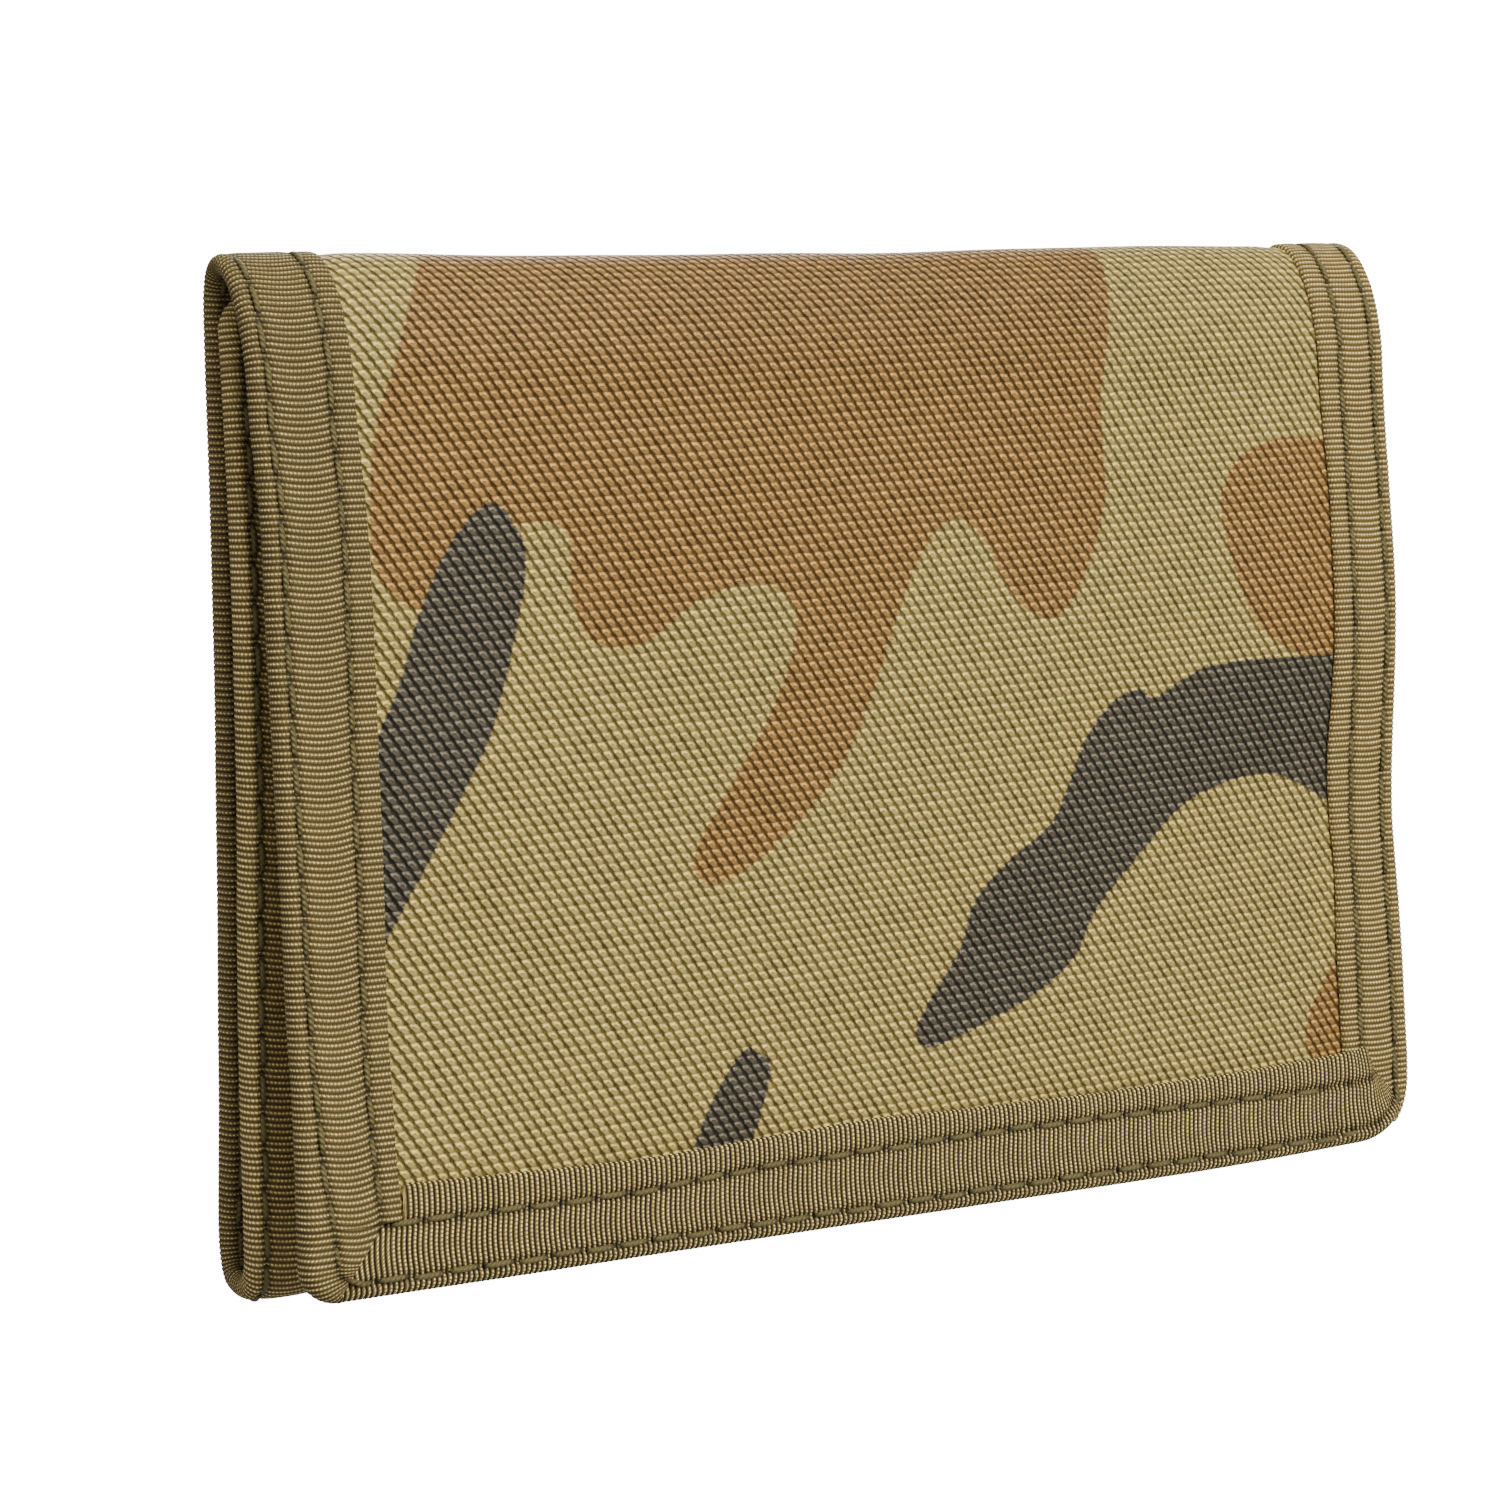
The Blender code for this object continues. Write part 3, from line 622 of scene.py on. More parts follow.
def panel(name, region, level, finish, slot, nodes, on=(), **shape):
    """The cloth of one stretch of the cover, over the wallet's whole width."""
    low, high = REGIONS[region][:2]
    low, high = max(low, CLOTH_IN), min(high, END - CLOTH_IN)
    piece = skin(name, (-CLOTH_HALF, CLOTH_HALF), (low, high), level, finish, **shape)
    attach(piece, region, slot, *nodes, flat=(2 * CLOTH_HALF, high - low), on=on)


def ply(name, x, rows, finish, shade=None, wander=None):
    """A sheet swept across x along rows of (s, level), for hems and folds."""
    s, level = (np.array(rows, float)[:, k, None] + 0 * x[None] for k in (0, 1))
    x = x[None] + 0 * s
    if wander:
        s = s + wander(x, s)
    steps = np.hypot(np.diff(s[:, 0]), np.diff(level[:, 0]))
    lengths = np.concatenate([[0], np.cumsum(steps)])[:, None]
    fab = stacked(x, lengths + 0 * x, shade(x, s) if shade else np.ones(s.shape))
    return link(name, place(x, s, level), grid_faces(*s.shape), finish, fab=fab)


def ring_faces(paths, rings, sides):
    """The quads of round strands, each a path of so many rings."""
    base = (np.arange(paths)[:, None, None] * rings + np.arange(rings - 1)[:, None]) * sides
    i = np.arange(sides)
    j = (i + 1) % sides
    quads = np.stack([base + i, base + j, base + sides + j, base + sides + i], axis=-1)
    return quads.reshape(-1, 4)


def tubes(name, paths, radius, finish, sides):
    """Thin round strands along paths of (x, s, level), all with the same number of points."""
    p = np.asarray(paths, float)
    m, n, _ = p.shape
    t = np.gradient(p, axis=1)
    t /= np.maximum(np.linalg.norm(t, axis=-1, keepdims=True), 1e-9)
    across = np.cross(t, [0.31, 0.17, 0.93])
    across /= np.maximum(np.linalg.norm(across, axis=-1, keepdims=True), 1e-9)
    other = np.cross(t, across)
    ring = np.linspace(0, 2 * math.pi, sides, endpoint=False)
    r = np.broadcast_to(np.asarray(radius, float), (n,))[None, :, None, None]
    ca, sa = np.cos(ring)[:, None], np.sin(ring)[:, None]
    q = p[:, :, None] + r * (across[:, :, None] * ca + other[:, :, None] * sa)
    steps = np.linalg.norm(np.diff(p, axis=1, prepend=p[:, :1]), axis=-1)
    along = np.cumsum(steps, axis=1)[:, :, None]
    fab = stacked(along + 0 * ring, p[:, :, :1] + ring, np.ones(m * n * sides))
    points = place(*np.moveaxis(q, -1, 0))
    return link(name, points, ring_faces(m, n, sides), finish, fab=fab)


def threads(name, region, paths):
    """Rows of lockstitches: each path is (points as (x, s), level, sign of the side it shows on)."""
    sides, rings = 8, 7
    ring = np.linspace(0, 2 * math.pi, sides, endpoint=False)
    ca, sa = np.cos(ring)[None], np.sin(ring)[None]
    f = np.linspace(0.08, 0.92, rings)
    arch = np.sin(math.pi * f)
    radius = (0.16 + 0.12 * arch ** 0.5)[:, None]
    lift = (-0.42 + 0.44 * arch ** 0.6)[:, None]
    verts, fab = [], []
    for points, level, sign in paths:
        p = np.array(points, float)
        along = np.concatenate([[0], np.cumsum(np.linalg.norm(np.diff(p, axis=0), axis=1))])
        for k in range(int(along[-1] / STITCH)):
            a = (k + f) * STITCH
            c = np.stack([np.interp(a, along, p[:, i]) for i in (0, 1)], axis=-1)
            d = c[-1] - c[0]
            d = d / max(np.linalg.norm(d), 1e-9)
            side = np.array([-d[1], d[0]])
            drift = 0.10 * math.sin(k * 2.4) + 0.06 * (f - 0.5) * 2
            c = c + side * drift[:, None]
            x = c[:, :1] + side[0] * radius * ca
            s = c[:, 1:] + side[1] * radius * ca
            up = level + sign * (lift + 0.9 * radius * sa)
            if sign > 0:
                up = up - 0.2 * bell(s - S_ARCH, 7)
            verts.append(place(x, s, up))
            fab.append(stacked(a[:, None] + 0 * ca, ring[None] + 0 * x, arch[:, None] + 0 * x))
    faces = ring_faces(len(verts), rings, sides)
    attach(link(name, np.stack(verts), faces, THREAD, fab=np.vstack(fab)), region, "tape")


# ---- edge tape

# For each side, as (s, value): the width of the tape's outer leaf, how far in its two rows of
# stitches lie, and the painted light and shade on it. The left tape is darker, most near the top of
# the front, and lighter on the flap; the right tape is lighter on the front. bow is how far the ribs
# curve between the rows.
SIDES = {
    -1: {"width": ([0, 20, 60, 85, 150, 280], [9.7, 9.1, 9.9, 9.6, 9.5, 9.6]),
         "outer": ([0, 5, 12, 20, 60, 300], [3.1, 2.9, 2.0, 1.5, 1.35, 1.5]),
         "inner": ([0, 7, 19, 60, 300], [7.5, 7.3, 6.6, 7.2, 7.1]),
         "painted_light": ([0, 50, 80, S_ARCH, S_ARCH + 8, S_FOOT, S_FOOT + 8],
                  [0.95, 0.89, 0.75, 0.75, 0.84, 0.84, 1.35]),
         "corner": LEFT_CORNER, "bow": 0.36},
    1: {"width": ([0, 20, 28, 40, 51, 66, 75, 88, 130, 200, 290],
                  [8.7, 8.7, 8.3, 8.8, 8.2, 8.0, 8.3, 8.7, 9.0, 9.3, 9.2]),
        "outer": ([0, 20, 55, 90, 300], [2.3, 2.2, 1.8, 2.0, 1.9]),
        "inner": ([0, 10, 27, 50, 75, 90, 300], [6.6, 6.6, 6.2, 5.9, 5.9, 6.1, 6.9]),
        "painted_light": ([0, S_ARCH, S_ARCH + 8], [1.22, 1.22, 1.0]),
        "corner": RIGHT_CORNER, "bow": 0.14},
}
# The same for the free edges' tapes, as (x, value).
FOOT_ROWS = {"width": ([-70, -53, -37, -27, -16, -3, 22, 50, 70],
                       [9.8, 9.8, 9.3, 9.1, 9.5, 9.9, 9.4, 9.5, 9.7]),
             "outer": ([-70, -57, 0, 50, 70], [1.7, 1.5, 1.6, 1.5, 2.2]),
             "inner": ([-70, -52, -30, -16, 10, 37, 52, 70],
                       [6.5, 6.4, 6.1, 6.8, 7.1, 6.8, 6.4, 6.4]), "bow": 0.3}
PIVOT = (54.6, 6.7)  # the top of the seam where the left tape is mitred over the foot's
SAMPLES = 5  # points along the tape for each rib
# Points over the tape: its outer leaf, the turn over the edge and its inner leaf.
LEAF = np.concatenate([[0, 0.012, 0.04], np.linspace(0.08, 1, 26)])
BEND = np.linspace(0, math.pi, 11)[1:-1]
BACK_LEAF = np.linspace(0, 1, 13)
CLOTH_OF = {"front": "front_cloth", "back_upper": "back_cloth", "back_lower": "base_cloth",
            "flap": "flap_cloth"}


def pillow(i, outer, inner, width, t):
    """The tape's height above its mean level: pressed at each row, full between them."""
    pull = 0.7 + 0.3 * np.cos(2 * math.pi * t / STITCH)
    row = lambda r: bell(i - r, 0.36)
    span = np.clip((i - outer) / np.maximum(inner - outer, 0.5), 0, 1)
    rest = np.clip((i - inner) / np.maximum(width - inner, 0.5), 0, 1)
    return (-0.38 * pull * (row(outer) + row(inner)) + 0.12 * np.sin(math.pi * span)
            + 0.08 * np.sin(math.pi * rest) - 0.10 * rest**4
            + 0.05 * np.sin(t * 0.9 + i) * np.sin(t * 0.37))


def binding(name, region, nodes, t, outline, inward, face, inner, rows, finish, flip,
            high=0.0, pitch=RIB, painted_light=1.0, calm=1.0):
    """An edge tape folded over an outline: t runs along it, and each rib lies along inward.

    face and inner are how far in its two leaves reach, high lifts the outer leaf, and calm
    flattens what is pressed into it.
    """
    length = t[-1] - t[0]
    seams = [np.interp(t, *rows[key])[:, None] for key in ("outer", "inner", "width")]
    first, second, _ = seams
    t, face, inner = t[:, None], face[:, None], inner[:, None]
    nose, a = np.clip(face - 0.1, 0.05, 1.15), BEND[None]
    i1 = face * (1 - LEAF) + nose * LEAF
    i2 = nose - nose * np.sin(a)
    i3 = nose * (1 - BACK_LEAF) + np.maximum(inner, nose + 0.1) * BACK_LEAF
    l1 = np.full(i1.shape, THICK) + high + calm * pillow(i1, *seams, t)
    l1[:, 0] -= 0.42
    l1[:, 1] -= 0.10
    l2 = THICK / 2 + (THICK / 2 + high * np.cos(a / 2)) * np.cos(a) + 0 * i2
    l3 = -pillow(i3, *seams, t) * 0.7
    l3[:, -1] += 0.40
    inset, level = np.hstack([i1, i2, i3]), np.hstack([l1, l2, l3])
    bow = rows["bow"] * np.sin(math.pi * np.clip((i1 - first) / (second - first), 0, 1))
    ride = np.hstack([t + bow, t + 0 * i2, t + 0 * i3])
    rib = 0.13 * np.abs(np.sin(math.pi * ride / pitch)) ** 0.7 - 0.05
    inset = inset + rib * np.hstack([0 * i1, -np.sin(a) + 0 * i2, 0 * i3])
    level = level + rib * np.hstack([1 + 0 * i1, np.cos(a) + 0 * i2, -1 + 0 * i3])
    x, s = (outline[:, j, None] + inward[:, j, None] * inset for j in (0, 1))
    steps = np.hypot(np.diff(inset, axis=1), np.diff(level, axis=1))
    across = np.cumsum(np.hstack([np.zeros(t.shape), steps]), axis=1)
    # Painted shade: the tape is darker in its dip along each row of stitches, and darker still at
    # each needle hole.
    hole = np.abs((t / STITCH) % 1 - 0.5) * STITCH
    dark = np.zeros(inset.shape)
    for seam in (first, second):
        gap = np.abs(inset - seam)
        dark += (0.56 * bell(gap, 0.42)
                 + 0.40 * np.exp(-((gap / 0.5) ** 2) - (hole / 0.5) ** 2))
    sewn = np.hstack([np.ones(i1.shape), np.zeros(i2.shape), 0.8 * np.ones(i3.shape)])
    shade = 1 - np.clip(dark, 0, 0.85) * sewn
    # The side's painted light and shade multiplies the tape's colour.
    fab = stacked(ride, across, shade * np.reshape(painted_light, (-1, 1)))
    piece = link(name, place(x, s, level), grid_faces(*inset.shape, flip), finish, fab=fab)
    attach(piece, region, "tape", *nodes, flat=(TAPE_FLAT, length), held="folded",
           on=[CLOTH_OF[region]])


def corner(walk, radius):
    """A point this far round a corner: how far in it is from the side, how far up from the foot
    and how far it has gone along the foot."""
    turn = np.clip(walk / radius, 0, math.pi / 2)
    beyond = np.maximum(walk - radius * math.pi / 2, 0)
    return (radius - radius * np.cos(turn),
            radius - radius * np.sin(turn) - np.minimum(walk, 0), beyond)


def side_tape(name, region, side, nodes, free_end=None):
    """A side's tape: on the left it turns the free corner, on the right it ends under the other."""
    rows = SIDES[side]
    low, high = REGIONS[region][:2]
    reach = 0.0 if free_end is None else -2.0 if side < 0 else 2.2
    low, high = (low + reach, high) if free_end == 0.0 else (low, high - reach)
    s = np.linspace(low, high, int(round((high - low) / (RIB / SAMPLES))) + 1)
    outline = np.stack([np.full(s.shape, side * HALF), s], axis=-1)
    inward = np.tile([-float(side), 0.0], (len(s), 1))
    face, inner = np.interp(s, *rows["width"]), np.full(len(s), TAPE_BACK)
    up = np.zeros(len(s))
    if free_end is not None:
        d = np.abs(s - free_end) * np.where((s < 0) | (s > END), -1, 1)
        sign = 1 if free_end == 0.0 else -1
        r = rows["corner"]
        if side < 0:
            turned = d < PIVOT[1] - 0.1
            drawn, height, along = corner(r - d, r)
            x = -HALF + drawn + along
            seam = np.where(d > r, d, np.interp(r - d, [0, r + 2.0], [r, 0.9]))
            to = np.stack([-PIVOT[0] - 0.8 * (PIVOT[1] - seam) - x, seam - height], axis=-1)
            far = np.linalg.norm(to, axis=1)
            outline[turned] = np.stack([x, free_end + sign * height], axis=-1)[turned]
            inward[turned] = (to / far[:, None] * np.array([1, sign]))[turned]
            face, inner = (np.where(turned, 0.985 * far, leaf) for leaf in (face, inner))
            up = 0.22 * np.clip((11 - d) / 3, 0, 1)
        else:
            drawn = rounded_in(d, r)
            outline[:, 0] -= side * (drawn + 0.10 * np.clip((7 - d) / 2, 0, 1))
            face, inner = face - drawn, np.minimum(inner, d + 0.4)
            up = -0.2 * np.clip((9 - d) / 2, 0, 1)
    bent = bell(s - S_ARCH, 7)[:, None]
    binding(name, region, nodes, s, outline, inward, face, inner, rows, GROSGRAIN, side < 0,
            high=up[:, None] - 0.36 * bent, painted_light=np.interp(s, *rows["painted_light"]), calm=1 - 0.6 * bent)


def end_tape(name, region, free_end, sign, nodes):
    """The tape along a free edge: mitred under the left one, turned round the right corner on top."""
    start, stop, r = -59.4, 62.7, RIGHT_CORNER
    bend, tip = 53.4, 57.5  # where the ribs begin to fan out, and where the lapped end begins
    x = np.linspace(start, stop, int(round((stop - start) / (RIB / SAMPLES))) + 1)
    theta = np.clip((x - (HALF - r)) / r, 0, None)
    ex = np.minimum(x, HALF - r) + r * np.sin(theta)
    ey = r - r * np.cos(theta)
    ix = np.where(x < bend, x, np.interp(x, [bend, tip, stop], [bend, 56.3, 56.9]))
    iy = np.where(x < bend, np.interp(x, *FOOT_ROWS["width"]),
                  np.interp(x, [bend, tip, stop], [9.6, 9.9, 7.9]))
    to = np.stack([ix - ex, iy - ey], axis=-1)
    far = np.linalg.norm(to, axis=1)
    inward = to / far[:, None] * np.array([1, sign])
    mitre = np.interp(x, [-60, -59.4, -54.4, -52.75, -52.7], [0.6, 0.7, 7.1, 7.1, 10.0])
    face = np.minimum(far, mitre)
    inner = np.minimum(face, np.maximum(HALF - ex + 0.4, 0.3 * far))
    inner = np.minimum(TAPE_BACK, inner)
    close = np.clip((stop - x) / 3.0, 0, 1)
    lap = (0.34 * np.clip((9.5 - (HALF - ex)) / 2.0, 0, 1) * close)[:, None]
    ey = ey + 0.7 * np.clip((ex - 35) / 25, 0, 1) ** 1.5
    outline = np.stack([ex - 0.3 * (1 - close), free_end + sign * ey], axis=-1)
    binding(name, region, nodes, x, outline, inward, face, inner, FOOT_ROWS, END_TAPE, sign > 0,
            high=lap, pitch=END_RIB)


# ---- the shell, sewn and bound

def tucked(x, s):
    """Shell cloth: drawn down towards the seams and lying under the tape."""
    side = np.abs(x) - (HALF - TAPE)
    free = np.minimum(s, END - s) - TAPE
    near = np.maximum(np.clip(1 + side / 3, 0, 1), np.clip(1 - free / 3, 0, 1))
    return -0.22 * near**2


def s_of(z, low, high, level=0.0):
    """The s at which a face of the cover, at the middle of its width, has this height."""
    s = np.linspace(low, high, 600)
    up = place(0, s, level)[:, 2] / MM
    order = np.argsort(up)
    return float(np.interp(z, up[order], s[order]))


front_s = lambda z: s_of(z, 0, S_ARCH - 4)
back_s = lambda z: s_of(z, S_ARCH + 4, S_FOOT - 4)
flap_s = lambda z: s_of(z, S_FOOT + 4, END, THICK)
ZIP = flap_s(30.17)
MOUTH = (-46.0, 46.0, flap_s(25.98), flap_s(34.36))  # the zip's opening in the flap's cloth


def out_of(hole, x, s):
    """How far a point lies outside a rectangle, negative inside it."""
    return np.maximum(np.maximum(hole[0] - x, x - hole[1]), np.maximum(hole[2] - s, s - hole[3]))


def zipped(x, s):
    """The flap's cloth also dips where it is sewn down round the zip."""
    gap = out_of(MOUTH, x, s)
    sewn = 0.10 * bell(gap - 1.6, 0.6)
    return tucked(x, s) - 0.42 * bell(gap, 1.3) - sewn


for name, region, nodes in (
        ("front", "front", ("front_shell", "front_board", "top_fold_shell")),
        ("back", "back_upper", ("back_shell", "back_board")),
        ("base", "back_lower", ("bottom_fold_shell",)),
        ("flap", "flap", ("flap_shell_lower", "flap_shell_upper"))):
    shape = {"lift": zipped, "hole": MOUTH} if region == "flap" else {"lift": tucked}
    panel(f"{name}_cloth", region, CLOTH_LEVEL, OXFORD, "shell", nodes, [f"{name}_inside"], **shape)

for side, word in ((-1, "left"), (1, "right")):
    side_tape(f"front_tape_{word}", "front", side,
              (f"front_binding_{word}", f"top_fold_binding_{word}"), free_end=0.0)
    side_tape(f"back_tape_{word}", "back_upper", side, (f"back_binding_{word}",))
    side_tape(f"base_tape_{word}", "back_lower", side, (f"bottom_fold_binding_{word}",))
    side_tape(f"flap_tape_{word}", "flap", side, (f"flap_binding_{word}",), free_end=END)
end_tape("front_tape_bottom", "front", 0.0, 1, ("front_binding_bottom",))
end_tape("flap_tape_top", "flap", END, -1, ("flap_binding_top",))


def row(side, key, low, high):
    """One row of stitches along a side, from its high end to its low one."""
    s = np.arange(low, high + 0.01, 2.0)[::-1]
    return list(zip(side * (HALF - np.interp(s, *SIDES[side][key])), s))


def foot_row(key, low, high):
    """One row of stitches along a free edge, as (x, distance from the edge)."""
    return [(x, float(np.interp(x, *FOOT_ROWS[key]))) for x in np.arange(low, high, 3.0)]


OUTER_FACE, INNER_FACE = (THICK, 1), (0.0, -1)
LEFT_FOOT = [(-59.5, 4.2), (-58.8, 2.4), (-57.2, 1.55)]
RIGHT_FOOT = [(56.0, 1.9), (58.6, 2.6), (60.2, 4.4)]
FOOT_IN, FOOT_OUT = foot_row("inner", -54.4, 56.1), foot_row("outer", -54.0, 54.1)
round_the_edge = (row(-1, "outer", 5.5, S_ARCH) + LEFT_FOOT + FOOT_OUT + RIGHT_FOOT
                  + row(1, "outer", 6.0, S_ARCH)[::-1])
below_arch = S_ARCH - 6
threads("front_stitches", "front", [(points, *face) for points, face in (
    (row(-1, "inner", 7.2, S_ARCH), OUTER_FACE), (round_the_edge, OUTER_FACE),
    (FOOT_IN, OUTER_FACE), (row(1, "inner", 9.0, S_ARCH), OUTER_FACE),
    (row(-1, "inner", 7.2, below_arch), INNER_FACE),
    (row(-1, "outer", 5.5, below_arch), INNER_FACE),
    (row(1, "inner", 9.0, below_arch), INNER_FACE),
    (row(1, "outer", 6.0, below_arch), INNER_FACE),
    (FOOT_IN, INNER_FACE), (FOOT_OUT, INNER_FACE))])
for region in ("back_upper", "back_lower", "flap"):
    low, high = REGIONS[region][:2]
    high -= 9.0 if region == "flap" else 0.0
    rows = [row(side, key, low, high) for side in (-1, 1) for key in ("inner", "outer")]
    if region == "flap":
        rows += [[(x, END - c) for x, c in loop] for loop in (FOOT_IN, FOOT_OUT)]
    threads(f"{region}_stitches", region,
            [(points, *face) for points in rows for face in (OUTER_FACE, INNER_FACE)])


# ---- linings and pockets

def slack(x, s):
    """A lining's soft looseness over the board."""
    sides = np.clip((HALF - TAPE - np.abs(x)) / 8, 0, 1)
    ends = np.clip(np.minimum(s - 10, END - 10 - s) / 8, 0, 1)
    ripple = 0.10 * np.sin(x * 0.16 + s * 0.05) * np.sin(s * 0.11 - x * 0.03)
    return 0.45 - sides * ends * (0.22 + ripple)


for name, region, nodes in (
        ("front", "front", ("front_lining", "top_fold_lining")),
        ("back", "back_upper", ("back_lining",)),
        ("base", "back_lower", ("bottom_fold_lining",)),
        ("flap", "flap", ("flap_lining",))):
    panel(f"{name}_inside", region, 0.0, LINING, "lining", nodes, flip=True, lift=slack)

# Three card pockets, one over the other on the front's inner face. Each is one strip of cloth:
# down inside from the turned-in hem's end, over the mouth and to the foot, where all are sewn.
POCKET_HALF, POCKET_SEAM = 49.3, 48.0
MOUTHS = [front_s(z) for z in (81.47, 72.47, 63.46)]
FOOT = front_s(34.6)
pocket_rows = []
for k, mouth in enumerate(MOUTHS):
    level = 0.10 - 0.46 * k

    def body(s):
        """A point of the pocket's face, which swells a little and dips at its seams."""
        dip = (0.05 * math.exp(-((s - mouth + 3.0) / 0.5) ** 2)
               + 0.14 * math.exp(-((s - FOOT - 1.5) / 0.9) ** 2))
        share = min(max((s - FOOT) / (mouth - FOOT), 0), 1)
        swell = 0.16 * math.sin(math.pi * share) ** 0.7
        return s, level - 0.02 + dip - swell * 0.5

    def sag(x, s):
        """The mouth's slight curve down at the middle of its width."""
        across = np.cos(np.clip(x / POCKET_HALF, -1, 1) * math.pi / 2)
        return -0.45 * across * np.clip((s - mouth + 9) / 9, 0, 1)

    def seams(x, s):
        """Darker along the hem's seam and the two sides'."""
        return (1 - 0.30 * bell(s - mouth + 3.0, 0.5)
                - 0.25 * bell(np.abs(x) - POCKET_SEAM, 0.6))

    hem = [(mouth - 4.2 + 0.35 * i, level + 0.30) for i in range(12)]
    turn = [(mouth - 0.25 + 0.25 * math.sin(a), level + 0.15 + 0.17 * math.cos(a))
            for a in np.linspace(0, math.pi, 7)]
    face = [body(s) for s in np.arange(mouth - 0.6, FOOT, -0.9)] + [(FOOT, level + 0.12)]
    pocket = ply(f"card_pocket_{k + 1}", np.linspace(-POCKET_HALF, POCKET_HALF, 100),
                 hem + turn + face, LINING, shade=seams, wander=sag)
    attach(pocket, "front", "lining", f"card_slot_{k + 1}", held="folded", on=["front_inside"],
           flat=(2 * POCKET_HALF, mouth - FOOT + 4.6))
    hem_row = [(x, mouth - 3.0 - 0.42 * math.cos(x / POCKET_HALF * math.pi / 2))
               for x in np.arange(-47, 47.1, 3.0)]
    pocket_rows.append((hem_row, level + 0.02, -1))
    low = MOUTHS[k + 1] if k < 2 else FOOT
    pocket_rows += [([(side * POCKET_SEAM, v) for v in np.arange(low + 1.5, mouth - 0.4, 2.0)],
                     level - 0.02, -1) for side in (-1, 1)]
pocket_rows += [([(x, FOOT + up) for x in np.arange(-48, 48.1, 3.0)], level, -1)
                for up, level in ((1.5, -0.80), (3.2, -0.84))]
threads("pocket_stitches", "front", pocket_rows)

# The clear window on the back's inner face, and its frame.
FRAME_HALF, FILM_HALF = 48.0, 44.0
WINDOW = (-41.0, 41.0, back_s(69.75), back_s(21.75))
FRAME_S = (back_s(76.75), back_s(14.75))
FILM_S = (back_s(72.75), back_s(18.75))


def framed(x, s):
    """The frame is raised along its outer and its inner edge, and along the stitches there."""
    out = np.minimum(FRAME_HALF - np.abs(x), np.minimum(s - FRAME_S[0], FRAME_S[1] - s))
    near = np.minimum(out, out_of(WINDOW, x, s))
    return 0.26 * bell(near, 0.5) + 0.10 * bell(near - 1.5, 0.45)


def slumped(x, s):
    """The film lies in a shallow hollow."""
    return (-0.10 * np.cos(x / FILM_HALF * math.pi / 2)
            * np.cos((s - S_BACK) / 27 * math.pi / 2) ** 2)


def ring(x, low, high):
    """A closed row of stitches round a rectangle."""
    return [(-x, low), (x, low), (x, high), (-x, high), (-x, low)]


border = skin("window_border", (-FRAME_HALF, FRAME_HALF), FRAME_S, -0.34, LINING, step=0.5,
              flip=True, lift=framed, hole=WINDOW)
attach(border, "back_whole", "lining", "window_frame")
film = skin("window_sheet", (-FILM_HALF, FILM_HALF), FILM_S, 0.02, FILM, step=2.0, flip=True,
            lift=slumped)
attach(film, "back_whole", "window_film", "window_film",
       flat=(2 * FILM_HALF, FILM_S[1] - FILM_S[0]), on=["back_inside"])
threads("window_stitches", "back_whole", [
    (ring(46.5, FRAME_S[0] + 1.5, FRAME_S[1] - 1.5), -0.30, -1),
    (ring(42.5, WINDOW[2] - 1.5, WINDOW[3] + 1.5), -0.30, -1)])


# ---- the coin pocket and its zip

BAG_HALF, BAND_HALF = 57, 46.4
bag_low, bag_high = flap_s(7.9), flap_s(84.3)
bag_rows = np.linspace(bag_low, bag_high, 50)
bag = ply("coin_pocket_bag", np.linspace(-BAG_HALF, BAG_HALF, 58),
          [(v, 1.30) for v in bag_rows] + [(bag_high + 0.2, 1.15)]
          + [(v, 0.98) for v in bag_rows[::-1]] + [(bag_low - 0.2, 1.15), (bag_low, 1.30)], LINING)
attach(bag, "flap", "lining", "coin_bag", held="folded", on=["flap_inside"],
       flat=(2 * BAG_HALF, 2 * (bag_high - bag_low)))
for label, limits in (("lower", (ZIP - 11.0, ZIP - 0.42)), ("upper", (ZIP + 0.42, ZIP + 11.0))):
    band = skin(f"zip_band_{label}", (-BAND_HALF, BAND_HALF), limits, 1.55, WEBBING, step=0.7)
    attach(band, "flap", "zip_tape", f"zip_tape_{label}", on=["coin_pocket_bag"],
           flat=(2 * BAND_HALF, limits[1] - limits[0]))
COIL_PITCH, COIL_START, COIL_LENGTH = 1.5, -43.8, 87.6
turns = np.arange(int(COIL_LENGTH / COIL_PITCH) * 14 + 1) / 14.0
for label, side, offset in (("lower", -1, 0.0), ("upper", 1, 0.5)):
    a = 2 * math.pi * turns
    flat = np.sign(np.cos(a)) * np.abs(np.cos(a)) ** 0.8
    coil = np.stack([COIL_START + COIL_PITCH * (turns + offset) * 0.992,
                     ZIP + side * (0.80 - 1.28 * flat), 2.02 + 0.34 * np.sin(a)], axis=-1)
    teeth = tubes(f"zip_coil_{label}", coil[None], 0.27, COIL, sides=7)
    attach(teeth, "flap", "zip_teeth", f"zip_teeth_{label}")
zip_rows = [([(x, ZIP + side * 1.95) for x in np.arange(-43, 43.1, 3.0)], 1.60, 1)
            for side in (-1, 1)]
zip_rows.append((ring(47.6, MOUTH[2] - 1.6, MOUTH[3] + 1.6), 2.02, 1))
threads("zip_stitches", "flap", zip_rows)


# ---- hook and loop

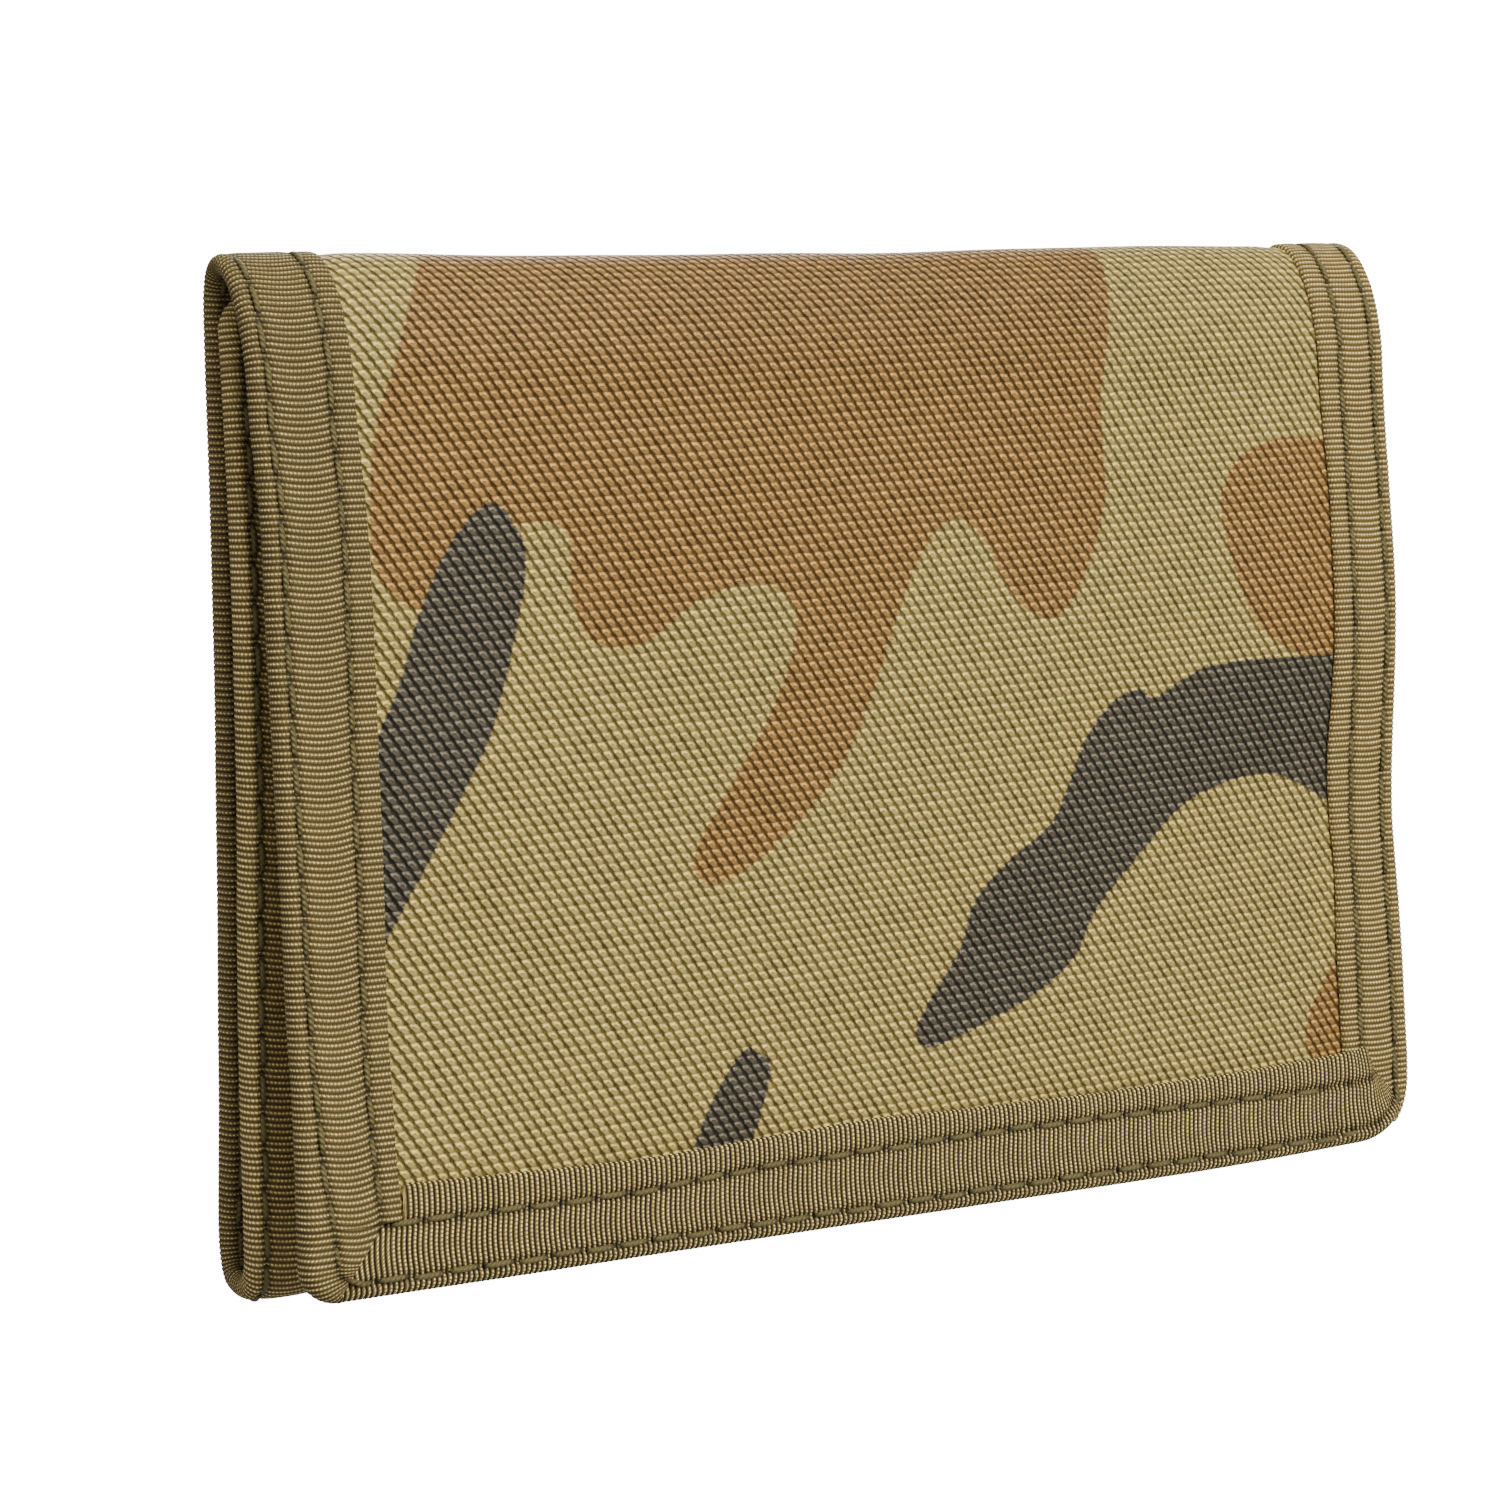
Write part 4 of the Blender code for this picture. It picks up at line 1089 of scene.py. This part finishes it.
STRIP_HALF, PILE_HALF = 44, 42.6
STRIP_FLAT = (2 * STRIP_HALF, 10.0)
rng = np.random.default_rng(4)
hook_s = (front_s(13.78), front_s(23.82))
hook_base = skin("hook_tape_base", (-STRIP_HALF, STRIP_HALF), hook_s, -0.05, HOOK_BASE, flip=True)
attach(hook_base, "front", "hook_tape", "hook_strip", flat=STRIP_FLAT, on=["front_inside"])
gx, gs = np.meshgrid(np.arange(-PILE_HALF, PILE_HALF + 0.1, 1.15),
                     np.arange(hook_s[0] + 1.2, hook_s[1] - 1.0, 1.0))
gx, gs = (gx + 0.57 * (gs.astype(int) % 2)).ravel()[:, None], gs.ravel()[:, None]
a = np.linspace(0, 1, 7)
lean = rng.choice([-1.0, 1.0], gx.size)[:, None]
hooks = np.stack([gx + 0 * a, gs + lean * (0.30 * np.sin(a * 2.6) ** 2 - 0.10),
                  0 * gx - 0.05 - 0.62 * np.sin(a * 2.2)], axis=-1)
hook_pile = tubes("hook_pile", hooks, [0.13, 0.12, 0.11, 0.10, 0.10, 0.09, 0.05], HOOKS, sides=5)
attach(hook_pile, "front", "hook_tape")
loop_s = (flap_s(13.58), flap_s(23.61))
loop_base = skin("loop_tape_base", (-STRIP_HALF, STRIP_HALF), loop_s, THICK - 0.20, LOOP_BASE,
                 lift=lambda x, s: 0.12 * (np.abs(x) < 43.5))
attach(loop_base, "flap", "loop_tape", "loop_strip", flat=STRIP_FLAT, on=["flap_cloth"])
count = 2600
cx = rng.uniform(-PILE_HALF, PILE_HALF, count)[:, None]
cs = rng.uniform(loop_s[0] + 1.1, loop_s[1] - 1.1, count)[:, None]
heading = rng.uniform(0, 2 * math.pi, count)[:, None]
wide, tall = rng.uniform(0.35, 0.75, count)[:, None], rng.uniform(0.25, 0.55, count)[:, None]
a = np.linspace(0, math.pi, 7)[None]
reach, rise = np.cos(a) * wide, np.sin(a) * tall
loops = np.stack([cx + reach * np.cos(heading) + 0.12 * np.sin(2 * a),
                  cs + reach * np.sin(heading), THICK - 0.12 + rise], axis=-1)
loop_pile = tubes("loop_pile", loops, 0.06, LOOPS, sides=4)
attach(loop_pile, "flap", "loop_tape")
threads("fastener_stitches", "front", [(ring(43.2, hook_s[0] + 0.7, hook_s[1] - 0.7), -0.03, -1)])
threads("loop_stitches", "flap",
        [(ring(43.2, loop_s[0] + 0.7, loop_s[1] - 0.7), THICK - 0.06, 1)])

# The slider, its pull and the stops keep their CAD shape, with their edges eased.
for name, slot in (("zip_slider", "slider_metal"), ("zip_pull", "slider_metal"),
                   ("zip_stop_left", "zip_teeth"), ("zip_stop_right", "zip_teeth")):
    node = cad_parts[name]
    weld = node.modifiers.new("weld", "WELD")
    weld.merge_threshold = 1e-6
    ease = node.modifiers.new("ease", "BEVEL")
    ease.width, ease.segments = 0.0001, 3
    ease.limit_method, ease.angle_limit = "ANGLE", math.radians(32)
    node.data.materials.clear()
    node.data.materials.append(BRONZE)


# ---- camera, light and floor

def area_light(name, spot, target, size, power, colour=(1, 1, 1)):
    """A round lamp at a spot, in metres, turned to its target."""
    data = bpy.data.lights.new(name, "AREA")
    data.shape, data.size, data.energy, data.color = "DISK", size, power, colour
    made = bpy.data.objects.new(name, data)
    made.location = spot
    direction = Vector([t - p for t, p in zip(target, spot)])
    made.rotation_euler = direction.to_track_quat("-Z", "Y").to_euler()
    bpy.context.scene.collection.objects.link(made)


def backdrop(name, mesh, surface):
    """A white surface that only the camera sees, and that isn't part of the wallet."""
    made = bpy.data.objects.new(name, mesh)
    bpy.context.scene.collection.objects.link(made)
    paper = bpy.data.materials.new(surface)
    mesh.materials.append(paper)
    paper.use_nodes = True
    inputs = paper.node_tree.nodes["Principled BSDF"].inputs
    inputs["Base Color"].default_value = (0.9, 0.9, 0.9, 1)
    inputs["Roughness"].default_value = 1.0
    inputs["Emission Color"].default_value = (1, 1, 1, 1)
    inputs["Emission Strength"].default_value = BACKDROP
    for ray in ("diffuse", "glossy", "transmission", "shadow"):
        setattr(made, "visible_" + ray, False)


lens = bpy.data.cameras.new("camera")
lens.lens, lens.sensor_width = 96.9, 36.0
lens.clip_start, lens.clip_end = 0.01, 10
camera = bpy.data.objects.new("camera", lens)
camera.location = [c * MM for c in (-202.2, -324.3, 99.6)]
camera.rotation_euler = (math.radians(90 - 7.98), 0, math.radians(-30.52))
bpy.context.scene.collection.objects.link(camera)
bpy.context.scene.camera = camera

WARM, SOFT_WARM = (1, 0.955, 0.85), (1, 0.965, 0.88)
world = bpy.data.worlds.new("studio")
bpy.context.scene.world = world
world.use_nodes = True
sky = world.node_tree.nodes["Background"].inputs
sky["Color"].default_value = (*SOFT_WARM, 1)
sky["Strength"].default_value = FILL
area_light("key", (0.04, -0.78, 0.60), (0, 0, 0.045), 0.45, 10.5, WARM)
area_light("top", (-0.15, -0.10, 0.95), (0, 0, 0.05), 0.5, 1.4, SOFT_WARM)
area_light("behind", (0.42, 0.78, 0.45), (0, 0, 0.045), 0.5, 5.0)

room = bpy.data.meshes.new("white_room")
ball = bmesh.new()
bmesh.ops.create_icosphere(ball, subdivisions=3, radius=6.0)
ball.to_mesh(room)
ball.free()
backdrop("white_room", room, "white_room")
floor = bpy.data.meshes.new("floor")
floor.from_pydata([(x, y, -0.0008) for x, y in ((-5, -5), (5, -5), (5, 5), (-5, 5))],
                  [], [(0, 1, 2, 3)])
backdrop("floor", floor, "floor_paper")
